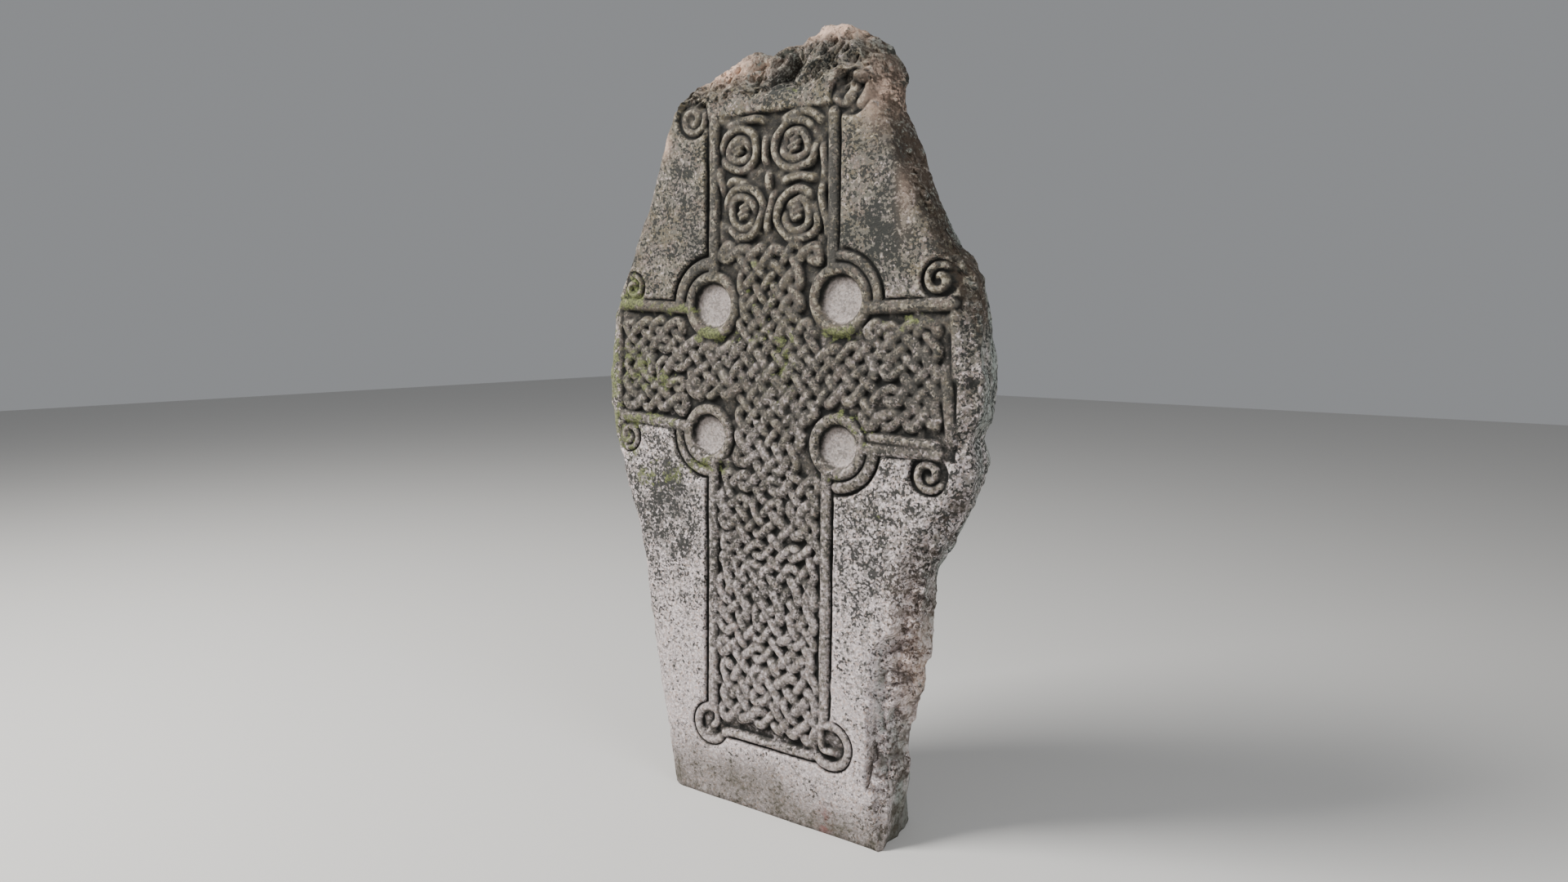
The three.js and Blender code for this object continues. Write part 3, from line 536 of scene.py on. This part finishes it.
def passing(place):
    """Points of a strand at a place: one at a crossing, two round a turn, pushed clear of the rings."""
    a, b, across, up, turn, _ = place
    points = [lattice_point(a, b)]
    if turn == "sideways":
        points = [lattice_point(a - TURN_INSET * across, b + step * up) for step in (-TURN_HALF, TURN_HALF)]
    elif turn == "upwards":
        points = [lattice_point(a + step * across, b - TURN_INSET * up) for step in (-TURN_HALF, TURN_HALF)]
    clear = []
    for point in points:
        middle, distance, ring = nearest_ring(point)
        clear.append(middle + (point - middle) * max(1, (ring + STRAND / 2 + RING_CLEAR) / distance))
    return clear


def strayed(line):
    """The line as the hand cut it, pushed a few millimetres about by slow noise."""
    x, z = np.asarray(line).T
    aside = STRAY * roughness(x, 2.3, z, STRAY_SIZE, 2)
    above = STRAY * roughness(x, 4.9, z, STRAY_SIZE, 2)
    return np.c_[x + aside, z + above]


def shortened(line, amount):
    """The same line without its first and last few millimetres."""
    steps = np.r_[0, np.cumsum(np.hypot(*np.diff(line, axis=0).T))]
    spots = np.linspace(amount, steps[-1] - amount, len(line))
    return np.c_[np.interp(spots, steps, line[:, 0]), np.interp(spots, steps, line[:, 1])]


def carve():
    """The height raster of the whole carving, from 0 on the face down to the floor of the hollows."""
    lumps = LUMP * np.maximum(0, roughness(grid_x, 1.1, grid_z, LUMP_SIZE, 2))
    height = (lumps - FLOOR) * ease(0, WALL, sunk_ground())
    for strand in trace_strands():
        dives = [k for k, place in enumerate(strand) if place[4] is None and not place[5]]
        if not dives:
            ring = np.array([point for place in strand for point in passing(place)])
            raise_rib(height, strayed(smooth_through(ring, closed=True)), STRAND)
        for n, first in enumerate(dives):
            last = dives[n + 1] if n + 1 < len(dives) else dives[0] + len(strand)
            places = [strand[k % len(strand)] for k in range(first, last + 1)]
            line = smooth_through([point for place in places for point in passing(place)])
            swell = 1 + 0.18 * knock(first, len(strand) + n)
            fullness = 0.93 + 0.10 * knock(n, first)
            raise_rib(height, strayed(shortened(line, STRAND * 0.44)), STRAND * swell, fullness, DIP)
    for n, (x, z, radius) in enumerate(COILS):
        first = COIL_STARTS[n % 2]
        outer = bow(x, z, radius, first, first + COIL_SWEEP)
        inner = bow(x, z, radius - COIL_GAP, first + COIL_LAG, first + COIL_LAG + COIL_SWEEP)
        raise_rib(height, strayed(outer), FINE_STRAND, dip=RING_DIP)
        raise_rib(height, strayed(inner), FINE_STRAND, dip=RING_DIP)
        for lift, half in TWIST:
            lean = TWIST_LEAN * half
            ends = ((x - half, z + lift - lean), (x + half, z + lift + lean))
            raise_rib(height, ends, TWIST_STRAND, dip=TWIST_DIP)
    for link in LINKS:
        raise_rib(height, strayed(smooth_through(link)), FINE_STRAND, dip=ROLL_DIP)
    for x, z, radius, strand, start, turns, left in SCROLLS:
        share = np.linspace(0, 1, 90)
        turn = np.radians(start + 360 * turns * share)
        distance = radius * (1 - (1 - SCROLL_EYE) * share)
        line = np.c_[x + distance * np.cos(turn), z + distance * np.sin(turn)]
        raise_rib(height, line, strand, left, dip=SCROLL_DIP)
    for width, line in (HEAVY_CURL, HEAVY_KNOB):
        raise_rib(height, smooth_through(line), width)
    for x, z, radius, first, last, hook in FOOT_RINGS:
        raise_rib(height, bow(x, z, radius, first, last), FOOT_STRAND, dip=RING_DIP)
        raise_rib(height, smooth_through(hook), HOOK_STRAND, dip=ROLL_DIP)
    edge = RING / 2
    for hollow, (x, end), (inner_x, inner_z, outer_x, outer_z) in zip(HOLLOWS, SHAFT_ROLLS, ARM_ROLLS):
        ring = hollow[2] + edge
        long_rib(height, (x, hollow[1] + np.sign(end - hollow[1]) * ring), (x, end), ROLL)
        long_rib(height, (inner_x + np.sign(inner_x) * ring, inner_z), (outer_x, outer_z), ROLL)
    for width, line in END_ROLLS:
        raise_rib(height, smooth_through(line, steps=16), width, dip=ROLL_DIP)
    for x, z, floor, outer, first, last in HOLLOWS:
        raise_rib(height, bow(x, z, floor + edge, 0, 360, 96), RING)
        inner = floor + RING + RING_GAP
        raise_rib(height, bow(x, z, (inner + outer) / 2, first, last), outer - inner)
        bowl = HOLLOW_DEPTH * ease(-0.003, HOLLOW_SLOPE, floor - away(x, z))
        height = np.where(away(x, z) < floor + 0.003, np.minimum(height, PROUD - bowl), height)
    return height


def blurred(raster, radius):
    """The raster smoothed twice by a running mean over radius points to each side, up and across."""
    for axis in (0, 1, 0, 1):
        total = np.cumsum(np.insert(raster, 0, 0, axis=axis), axis=axis)
        width = 2 * radius + 1
        mean = (np.take(total, range(width, total.shape[axis]), axis=axis)
                - np.take(total, range(total.shape[axis] - width), axis=axis)) / width
        pad = [(0, 0), (0, 0)]
        pad[axis] = (radius, radius)
        raster = np.pad(mean, pad, mode="edge")
    return raster


# How dark with painted shade and dirt and how bare each place is: from how far it lies under or over the
# level round it, up to the distances at which it is wholly dark or wholly bare; deep ground is painted darker
# too
SHADE_AND_DIRT_BELOW = 0.0036
BARE_ABOVE = 0.0045
carving = blurred(carve(), 1) * (1 - patches(grid_x, grid_z, WORN_SPOTS))
level = blurred(carving, 6)
depth = ease(0.45 * FLOOR, FLOOR, -carving)
groove = np.maximum(np.clip((level - carving) / SHADE_AND_DIRT_BELOW, 0, 1), 0.55 * depth)
# Inside each hollow the dark value is painted shadow, only on the wall at its upper left, under the rim
for x, z, floor, *_ in HOLLOWS:
    shadow_side = ease(-0.2, 0.7, (0.8 * (grid_z - z) - 0.6 * (grid_x - x)) / floor)
    inside = away(x, z) < floor + 0.002
    wall = 1 - ease(0.3 * HOLLOW_SLOPE, 1.5 * HOLLOW_SLOPE, floor - away(x, z))
    groove = np.where(inside, wall * shadow_side, groove)
crest = np.clip((carving - level) / BARE_ABOVE, 0, 1)


def sampled(raster, x, z):
    """The raster's value at each (x, z), blended between its four nearest points."""
    column = np.clip((x - raster_x[0]) / PIXEL, 0, len(raster_x) - 1.001)
    row = np.clip((z - raster_z[0]) / PIXEL, 0, len(raster_z) - 1.001)
    i, j = column.astype(int), row.astype(int)
    u, w = column - i, row - j
    low = raster[j, i] * (1 - u) + raster[j, i + 1] * u
    high = raster[j + 1, i] * (1 - u) + raster[j + 1, i + 1] * u
    return low * (1 - w) + high * w


# The slab's mesh: six grids of points, for the front, the back, both sides, the top and the foot, joined
# into one closed skin and thinned to the number of triangles that the piece may have.

ACROSS = 400
UP = 690
DEEP = 36
DETAIL = 188000

s_steps = np.linspace(0, 1, ACROSS + 1)
v_steps = np.linspace(0, 1, UP + 1)
d_steps = np.linspace(0, 1, DEEP + 1)
sides = [
    stone_point(*np.meshgrid(s_steps, v_steps), np.zeros(1)),
    stone_point(*np.meshgrid(s_steps[::-1], v_steps), np.ones(1)),
    stone_point(np.ones(1), *np.meshgrid(v_steps, d_steps, indexing="ij")),
    stone_point(np.zeros(1), *np.meshgrid(v_steps, d_steps[::-1], indexing="ij")),
    stone_point(*np.meshgrid(s_steps, 1.0), d_steps[:, None]),
    stone_point(*np.meshgrid(s_steps, 0.0), d_steps[::-1, None]),
]


def joined(grids):
    """One closed mesh from grids of points that meet along their edges: each grid's cells become quads, and
    points at the same place become one."""
    corners = []
    points = []
    count = 0
    for grid in grids:
        index = np.arange(grid.shape[0] * grid.shape[1]).reshape(grid.shape[:2]) + count
        cells = (index[:-1, :-1], index[:-1, 1:], index[1:, 1:], index[1:, :-1])
        corners.append(np.stack(cells, -1).reshape(-1, 4))
        points.append(grid.reshape(-1, 3))
        count += index.size
    points = np.vstack(points)
    _, first, home = np.unique(np.round(points, 6), axis=0, return_index=True, return_inverse=True)
    return points[first], home.reshape(-1)[np.vstack(corners)]


def mesh_of(name, points, quads):
    """A mesh of quads, put in as whole arrays."""
    mesh = bpy.data.meshes.new(name)
    mesh.vertices.add(len(points))
    mesh.vertices.foreach_set("co", points.astype(np.float32).ravel())
    mesh.loops.add(quads.size)
    mesh.loops.foreach_set("vertex_index", quads.astype(np.int32).ravel())
    mesh.polygons.add(len(quads))
    mesh.polygons.foreach_set("loop_start", np.arange(0, quads.size, 4, dtype=np.int32))
    mesh.update(calc_edges=True)
    mesh.validate()
    return mesh


AXIS_FROM_LEFT = 0.532
low_corner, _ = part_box("cross_slab")
home = np.array([low_corner[0] + AXIS_FROM_LEFT, low_corner[1] + PROUD, low_corner[2]])

points, quads = joined(sides)
slab = bpy.data.objects.new("slab", mesh_of("slab", points + home, quads))
bpy.context.collection.objects.link(slab)
thinned = slab.modifiers.new("thinned", "DECIMATE")
thinned.ratio = DETAIL / (2 * len(quads))
bpy.context.view_layer.update()
fine_mesh = slab.data
slab.data = bpy.data.meshes.new_from_object(slab.evaluated_get(bpy.context.evaluated_depsgraph_get()))
slab.modifiers.clear()
bpy.data.meshes.remove(fine_mesh)
slab.data.shade_smooth()

# The weathered surface: speckled granite under moss and two kinds of lichen, darker towards its foot, with
# painted shade in its grooves, hollows, cracks and on its right flank. Slow changes over the stone are
# attributes of the mesh, worked out from where each point is; the grain is in the shader.

# What belongs to the front ends at the first depth, what also grows on the sides fades out by the second,
# and the dirt in the breaks ends at the third
FRONT_DEPTH = 0.09
BACK_DEPTH = 0.15
BREAK_DEPTH = 0.12

place = np.empty(len(slab.data.vertices) * 3)
slab.data.vertices.foreach_get("co", place)
x, y, z = (place.reshape(-1, 3) - home).T
normals = np.empty(len(slab.data.vertices) * 3)
slab.data.vertices.foreach_get("normal", normals)
facing = normals.reshape(-1, 3)
on_front = ease(0.2, 0.6, -facing[:, 1]) * (y < FRONT_DEPTH)
forward = 1 - ease(FRONT_DEPTH, BACK_DEPTH, y)

# Spots: middle x, z, reach across, reach up, strength
MOSS_SPOTS = (
    (-0.520, 1.08, 0.030, 0.26, 0.80), (-0.46, 1.285, 0.10, 0.020, 0.6), (-0.440, 1.33, 0.04, 0.045, 0.75),
    (-0.28, 1.265, 0.10, 0.018, 0.65), (-0.46, 0.92, 0.045, 0.045, 0.6), (-0.38, 0.975, 0.12, 0.018, 0.6),
    (-0.178, 1.203, 0.06, 0.022, 0.9), (-0.195, 0.872, 0.08, 0.030, 0.75), (0.197, 1.213, 0.06, 0.024, 0.85),
    (0.195, 1.018, 0.05, 0.014, 0.6), (0.175, 0.875, 0.035, 0.016, 0.6), (0.05, 1.14, 0.06, 0.16, 0.40),
    (-0.05, 1.18, 0.10, 0.14, 0.30), (-0.43, 1.13, 0.08, 0.11, 0.55), (-0.33, 1.08, 0.06, 0.05, 0.45),
    (0.36, 1.235, 0.09, 0.03, 0.5), (0.26, 0.99, 0.05, 0.04, 0.45), (-0.36, 1.48, 0.05, 0.12, 0.25),
    (-0.39, 0.83, 0.06, 0.05, 0.65), (-0.30, 0.84, 0.05, 0.05, 0.45), (-0.05, 1.36, 0.08, 0.06, 0.3),
    (0.29, 0.79, 0.04, 0.04, 0.25), (-0.10, 1.80, 0.05, 0.03, 0.35), (0.06, 1.77, 0.06, 0.03, 0.35),
)
SOOT_SPOTS = (
    (-0.33, 0.78, 0.10, 0.12, 0.35), (0.28, 0.70, 0.08, 0.08, 0.12), (0.31, 1.42, 0.07, 0.07, 0.40),
    (-0.22, 1.40, 0.05, 0.10, 0.45), (0.03, 1.81, 0.06, 0.05, 0.4), (0.20, 1.40, 0.05, 0.06, 0.4),
    (0.176, 1.54, 0.014, 0.15, 0.6), (-0.172, 1.50, 0.014, 0.20, 0.3), (-0.172, 0.60, 0.014, 0.25, 0.3),
    (0.34, 1.60, 0.05, 0.14, 0.3), (-0.27, 1.60, 0.04, 0.08, 0.25), (0.38, 1.12, 0.08, 0.10, 0.25),
    (0.04, 0.195, 0.11, 0.020, 0.6), (-0.05, 0.23, 0.06, 0.03, 0.3), (0.0, 0.55, 0.06, 0.06, 0.25),
)
FILM_SPOTS = ((0.535, 1.15, 0.045, 0.20, 0.15), (0.26, 0.80, 0.12, 0.06, 0.15))
TUFT_SPOTS = (
    (0.005, 1.868, 0.024, 0.016, 1.0), (0.262, 1.858, 0.022, 0.018, 0.9), (0.300, 1.790, 0.020, 0.035, 0.8),
    (0.040, 1.795, 0.030, 0.018, 0.55),
)
FRESH_SPOTS = (
    (0.300, 1.780, 0.050, 0.075, 1.0), (-0.170, 1.845, 0.110, 0.030, 1.0), (0.130, 1.905, 0.110, 0.022, 0.8),
    (0.385, 0.40, 0.040, 0.20, 0.35), (0.365, 1.56, 0.020, 0.10, 0.20), (-0.325, 1.68, 0.015, 0.03, 0.7),
)
RUST_SPOTS = ((0.177, 0.025, 0.016, 0.035, 1.0),)
# Share of the surface under the brown film and under black lichen, by height
FILM_BY_HEIGHT = np.array([(0, 0.16), (0.12, 0.08), (0.30, 0.02), (0.50, 0.03), (0.72, 0.16), (0.90, 0.30),
                           (1.20, 0.50), (1.35, 0.80), (1.75, 0.90), (1.92, 0.75)])
SOOT_BY_HEIGHT = np.array([(0, 0.05), (0.25, 0.08), (0.45, 0.24), (0.66, 0.46), (0.95, 0.50), (1.25, 0.48),
                           (1.45, 0.42), (1.75, 0.40), (1.92, 0.40)])
in_lace = ease(0, 0.02, sampled(sunk_ground(), x, z)) * on_front
right_edge = read_off(RIGHT_EDGE, np.minimum(z, SHOULDER))
left_edge = read_off(LEFT_EDGE, np.minimum(z, SHOULDER))
rim = np.maximum(ease(-0.045, 0.0, x - right_edge) * ease(1.25, 1.45, z),
                 ease(-0.024, 0.01, left_edge - x) * ease(1.4, 1.6, z))
broken_edge = ease(-0.055, -0.025, x - right_edge) * (1 - ease(0.78, 0.92, z)) * (y < BREAK_DEPTH)
# The low creases between the facets of the broken edge are painted dark brown: painted shade with dirt
cracked = 0.85 * broken_edge * (1 - ease(-0.42, -0.05, edge_facets(x, y, z)))
fallen = ease(0, 0.02, corner_fall(x, z))
# And so are the creases between the crumbs of the fallen corner: painted shade with dirt
crumbling = fallen * (1 - ease(-0.60, -0.25, crumbs(x, y, z))) * (y < BREAK_DEPTH)
attributes = {
    # painted shade in the grooves and hollows, with some dirt
    "groove": sampled(groove, x, z) * on_front,
    "crest": sampled(crest, x, z) * on_front,
    "moss": np.minimum(1, patches(x, z, MOSS_SPOTS)) * forward,
    "soot": np.clip(read_off(SOOT_BY_HEIGHT, z) + patches(x, z, SOOT_SPOTS) - 0.10 * in_lace, 0, 1),
    "film": np.clip(read_off(FILM_BY_HEIGHT, z) + patches(x, z, FILM_SPOTS) + 0.30 * in_lace, 0, 1),
    # darker towards the foot, in patches
    "foot_darkening": 1 - ease(0.0, 0.17, z + 0.05 * roughness(x, y, z, 0.12)),
    "fresh": np.minimum(1, patches(x, z, FRESH_SPOTS)) * forward,
    "tuft": np.minimum(1, patches(x, z, TUFT_SPOTS)),
    "rust": patches(x, z, RUST_SPOTS) * on_front,
    # the cracks round the loose block, and painted shade with dirt in the creases of the broken edge and the
    # corner
    "crack": np.maximum.reduce([block_cracks(x, z) * (y < FRONT_DEPTH), cracked, crumbling]),
    "lace": in_lace,
    "front": on_front,
    # the side that faces right, painted darker: painted shade with green streaks
    "flank": ease(0.28, 0.6, facing[:, 0]) * ease(0.012, 0.04, y),
    "rim": rim,
    "raw": np.maximum.reduce([broken_edge, fallen, 0.7 * ease(1.77, 1.81, z)]) * forward,
}
for name, values in attributes.items():
    layer = slab.data.attributes.new(name, "FLOAT", "POINT")
    layer.data.foreach_set("value", values.astype(np.float32))


class Tone:
    """A shader value. Sums, differences and products of tones and numbers add Math nodes."""

    def __init__(self, tree, socket=None):
        self.tree = tree
        self.socket = socket

    def node(self, kind, settings, links, output=0):
        """Add a node: its settings first, then the values or links of its sockets."""
        made = self.tree.nodes.new("ShaderNode" + kind)
        for key, value in settings.items():
            setattr(made, key, value)
        for key, value in links.items():
            if isinstance(value, Tone):
                self.tree.links.new(value.socket, made.inputs[key])
            else:
                made.inputs[key].default_value = value
        return Tone(self.tree, made.outputs[output])

    def math(self, operation, first, second=0.0):
        """A Math node of one or two values."""
        return self.node("Math", {"operation": operation}, {0: first, 1: second})

    def __add__(self, other):
        return self.math("ADD", self, other)

    def __sub__(self, other):
        return self.math("SUBTRACT", self, other)

    def __rsub__(self, other):
        return self.math("SUBTRACT", other, self)

    def __mul__(self, other):
        return self.math("MULTIPLY", self, other)

    __radd__ = __add__
    __rmul__ = __mul__

    def between(self, low, high):
        """0 below low, 1 above high, smooth between."""
        links = {"Value": self, "From Min": low, "From Max": high}
        return self.node("MapRange", {"interpolation_type": "SMOOTHSTEP"}, links)

    def blend(self, first, second):
        """The first colour where this tone is 0, the second where it is 1."""
        return self.node("Mix", {"data_type": "RGBA"}, {0: self, 6: first, 7: second}, output=2)


granite = bpy.data.materials.new("granite")
granite.use_nodes = True
granite.node_tree.nodes.clear()
start = Tone(granite.node_tree)
where = start.node("TexCoord", {}, {}, output="Object")


def noise(scale, detail=3.0, spread=0.55, stretch=None):
    """Fractal noise from 0 to 1 over the stone, scale lumps to the metre."""
    vector = where
    if stretch:
        vector = start.node("Mapping", {}, {"Vector": where, "Scale": stretch})
    links = {"Vector": vector, "Scale": scale, "Detail": detail, "Roughness": spread}
    return start.node("TexNoise", {}, links)


def mosaic(scale):
    """A random number from 0 to 1 for each of many grains, scale of them to the metre."""
    grains = start.node("TexVoronoi", {}, {"Vector": where, "Scale": scale}, output="Color")
    return start.node("SeparateColor", {}, {0: grains})


def attribute(name):
    """The mesh's value of that name at each point."""
    return start.node("Attribute", {"attribute_name": name}, {}, output="Fac")


PALE_FELDSPAR = (0.88, 0.785, 0.785, 1)
GREY_QUARTZ = (0.47, 0.41, 0.41, 1)
PINK_FELDSPAR = (0.53, 0.41, 0.365, 1)
BLACK_MICA = (0.06, 0.056, 0.054, 1)
OLIVE_FILM = (0.112, 0.094, 0.054, 1)
BROWN_FILM = (0.120, 0.092, 0.068, 1)
PALE_CRUST = (0.45, 0.40, 0.305, 1)
GREY_LICHEN = (0.135, 0.130, 0.115, 1)
SOOT = (0.022, 0.024, 0.022, 1)
GROOVE_SHADE_AND_DIRT = (0.006, 0.006, 0.005, 1)
STRAND_GRIME_AND_SHADE = (0.075, 0.068, 0.060, 1)
CLEAN_FLOOR = (0.42, 0.372, 0.345, 1)
MOSS_DARK = (0.070, 0.078, 0.036, 1)
MOSS_BRIGHT = (0.215, 0.245, 0.088, 1)
FOOT_DARK = (0.085, 0.076, 0.056, 1)
RUST = (0.19, 0.075, 0.065, 1)
RAW_BREAK = (0.82, 0.565, 0.43, 1)
RIM_BROWN = (0.042, 0.030, 0.022, 1)
CRACK_DIRT_AND_SHADE = (0.062, 0.045, 0.032, 1)
SHADED_FLANK_GREEN = (0.25, 0.29, 0.265, 1)
TUFT_BLACK = (0.026, 0.028, 0.022, 1)

middling = noise(13, 5, 0.6)
blotch = noise(34, 5, 0.6)
flecks = noise(95, 4, 0.6)
small = noise(170, 4, 0.65)
speckle = noise(260, 3, 0.6)
soot_amount = attribute("soot")
film_amount = attribute("film")
groove_amount = attribute("groove")
crest_amount = attribute("crest")

# The floors of the four hollows, which are bare of film and lichen, and a little uneven in outline
along_x = start.node("SeparateXYZ", {}, {0: where}, output="X")
along_z = start.node("SeparateXYZ", {}, {0: where}, output="Z")
bare = 0.0
for spot_x, spot_z, floor_radius, *_ in HOLLOWS:
    off_x = along_x - float(home[0] + spot_x)
    off_z = along_z - float(home[2] + spot_z)
    distance = start.math("SQRT", off_x * off_x + off_z * off_z) + 0.010 * (blotch - 0.5)
    bare = distance.between(floor_radius - 0.001, floor_radius - HOLLOW_SLOPE) + bare
bare = bare * attribute("front")
unbare = 1 - bare

# Layers of colour from the bare stone outwards: grain, film, lichens, raw breaks, dirt with painted shade,
# the darkening towards the foot, and moss
grain = mosaic(240)
colour = (0.5 * speckle + 0.5 * grain).between(0.30, 0.70).blend(GREY_QUARTZ, PALE_FELDSPAR)
colour = (0.6 * noise(130, 2) + 0.25 * grain).between(0.46, 0.56).blend(colour, PINK_FELDSPAR)
mica = mosaic(170).between(0.92, 0.96) * noise(60, 2).between(0.42, 0.60) * 0.8
colour = mica.blend(colour, BLACK_MICA)
colour = (bare * 0.70).blend(colour, CLEAN_FLOOR)
film = (1.10 * film_amount + 1.7 * (flecks - 0.5) + 0.9 * (middling - 0.5)).between(0.12, 0.95)
film_tone = noise(22, 4).between(0.42, 0.60).blend(OLIVE_FILM, BROWN_FILM)
colour = (film * 0.95 * (1 - 0.80 * bare)).blend(colour, film_tone)
pale_spots = (noise(75, 5, 0.65) + 0.12 * crest_amount).between(0.55, 0.64)
colour = (pale_spots * film_amount * 0.85 * unbare).blend(colour, PALE_CRUST)
streaks = noise(11, 5, 0.6, (1, 1, 0.16))
# Where the surface faces right it is painted darker and greener in streaks: painted shade with green streaks
colour = (attribute("flank") * streaks.between(0.35, 0.6) * 0.85).blend(colour, SHADED_FLANK_GREEN)
patchy = 0.70 * flecks + 0.30 * blotch + 0.16 * soot_amount - 0.06 * crest_amount
grey = (patchy + 0.12 * (small - 0.5)).between(0.55, 0.62)
colour = (grey * 0.70 * unbare).blend(colour, GREY_LICHEN)
lichen = 0.46 * noise(110, 5, 0.62) + 0.37 * noise(26, 5, 0.6) + 0.17 * mosaic(200)
dark = (lichen + 0.20 * soot_amount - 0.05 * crest_amount).between(0.585, 0.645)
colour = (dark * 0.92 * (1 - 0.6 * bare)).blend(colour, SOOT)
fresh_cover = (0.7 * flecks + 0.3 * blotch).between(0.34, 0.50)
colour = (attribute("fresh") * fresh_cover).blend(colour, RAW_BREAK)
# Over the plait, except on the strand crests, painted shade with grime darkens the strands and ground
grime_and_shade = attribute("lace") * (1 - 0.85 * crest_amount) * (flecks + 0.1 * small).between(0.30, 0.62)
colour = (grime_and_shade * 0.8 * unbare).blend(colour, STRAND_GRIME_AND_SHADE)
# Grooves and the upper left walls of the hollows painted near black: painted shade, with some dirt
colour = (groove_amount * (0.92 + 0.4 * small)).blend(colour, GROOVE_SHADE_AND_DIRT)
rim_cover = (0.5 * flecks + 0.3 * small + 0.2 * blotch).between(0.44, 0.54) * 0.92
colour = (attribute("rim") * rim_cover).blend(colour, RIM_BROWN)
veins = start.math("ABSOLUTE", noise(24, 5, 0.65, (1, 1, 0.6)) - 0.5)
raw = attribute("raw")
chips = noise(45, 6, 0.7)
# Thin creases and pits in the raw breaks, sunk in the bump, are painted dark brown: painted shade with dirt
crease = (1 - veins.between(0.002, 0.016)) * raw * middling.between(0.38, 0.52)
pits = raw * chips.between(0.44, 0.36)
# Cracks and the creases of the broken edge and the corner, painted dark brown: dark cracks with painted shade
colour = (attribute("crack") * (0.45 + 0.8 * small)).blend(colour, CRACK_DIRT_AND_SHADE)
colour = (crease * 0.9).blend(colour, CRACK_DIRT_AND_SHADE)
colour = (pits * 0.7).blend(colour, CRACK_DIRT_AND_SHADE)
# Darker brown towards the foot, in patches
colour = (attribute("foot_darkening") * (0.9 * middling + 0.6 * flecks)).blend(colour, FOOT_DARK)
colour = (attribute("rust") * blotch.between(0.40, 0.60)).blend(colour, RUST)
moss = (attribute("moss") + 1.9 * (noise(60, 5, 0.6) - 0.5) + 1.2 * (blotch - 0.5)).between(0.50, 0.76)
moss_green = small.between(0.40, 0.62).blend(MOSS_DARK, MOSS_BRIGHT)
colour = (moss * 0.80).blend(colour, moss_green)
tuft = (attribute("tuft") + 1.4 * (flecks - 0.5)).between(0.45, 0.65)
colour = (tuft * 0.92).blend(colour, TUFT_BLACK)

relief = 0.5 * speckle + 0.6 * flecks + 0.4 * small + 0.25 * noise(520, 2) + 0.25 * moss * small + 0.10 * dark
relief = relief + 2.5 * raw * chips - 1.2 * crease
bump = start.node("Bump", {}, {"Strength": 0.8, "Distance": 0.004, "Height": relief})
shader = start.node("BsdfPrincipled", {}, {
    "Base Color": colour,
    "Roughness": 0.80 + 0.16 * small,
    "Specular IOR Level": 0.3,
    "Normal": bump,
})
surface = granite.node_tree.nodes.new("ShaderNodeOutputMaterial")
granite.node_tree.links.new(shader.socket, surface.inputs["Surface"])

slab.data.materials.append(granite)
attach(slab, "root")
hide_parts("cross_slab")

# The floor is a wide pale sheet at the slab's foot, with one broad soft light high on the left, a weaker one
# on the right and an even pale surround.

FLOOR_HALF = 14.0
FLOOR_PALE = (0.62, 0.61, 0.59, 1)
SURROUND_PALE = (0.80, 0.82, 0.85, 1)
SURROUND_STRENGTH = 0.34

corners = np.array([(-1, -1, 0), (1, -1, 0), (1, 1, 0), (-1, 1, 0)]) * FLOOR_HALF
floor_points = corners + np.array([0, 0, low_corner[2]])
floor = bpy.data.objects.new("floor", mesh_of("floor", floor_points, np.array([[0, 1, 2, 3]])))
bpy.context.collection.objects.link(floor)
floor_paint = bpy.data.materials.new("floor_paint")
floor_paint.use_nodes = True
floor_shader = floor_paint.node_tree.nodes["Principled BSDF"]
floor_shader.inputs["Base Color"].default_value = FLOOR_PALE
floor_shader.inputs["Roughness"].default_value = 0.9
floor.data.materials.append(floor_paint)


def soft_light(name, place, aim, size, watts, tint):
    """A square area light at a place, turned to shine at a point."""
    lamp = bpy.data.lights.new(name, "AREA")
    lamp.size = size
    lamp.energy = watts
    lamp.color = tint
    light = bpy.data.objects.new(name, lamp)
    light.location = place
    light.rotation_euler = (Vector(aim) - Vector(place)).to_track_quat("-Z", "Y").to_euler()
    bpy.context.collection.objects.link(light)


soft_light("sky", (-2.9, -3.0, 4.9), (0.0, 0.0, 0.9), 2.2, 650, (1.0, 0.985, 0.96))
soft_light("side", (3.4, -1.2, 2.4), (0.2, 0.0, 0.9), 2.0, 70, (0.97, 0.985, 1.0))
surround = bpy.data.worlds.new("surround")
surround.use_nodes = True
background = surround.node_tree.nodes["Background"]
background.inputs["Color"].default_value = SURROUND_PALE
background.inputs["Strength"].default_value = SURROUND_STRENGTH
bpy.context.scene.world = surround

# The camera stands at the right of the slab, a little above its middle, and looks slightly down at it.

CAMERA_PLACE = (1.5042, -2.0810, 1.2501)
TURN = np.radians(34.967)
TIP = np.radians(6.684)
ROLL_OVER = np.radians(0.488)
SENSOR = 36.0
LENS = 24.444

ahead = np.array([-np.sin(TURN) * np.cos(TIP), np.cos(TURN) * np.cos(TIP), -np.sin(TIP)])
right = np.cross(ahead, (0, 0, 1))
right /= np.linalg.norm(right)
upward = np.cross(right, ahead)
rolled_right = np.cos(ROLL_OVER) * right + np.sin(ROLL_OVER) * upward
rolled_up = -np.sin(ROLL_OVER) * right + np.cos(ROLL_OVER) * upward
lens = bpy.data.cameras.new("camera")
lens.sensor_width = SENSOR
lens.lens = LENS
camera = bpy.data.objects.new("camera", lens)
camera.matrix_world = Matrix(np.c_[rolled_right, rolled_up, -ahead].tolist()).to_4x4()
camera.location = Vector(np.array(CAMERA_PLACE) + home)
bpy.context.collection.objects.link(camera)
bpy.context.scene.camera = camera
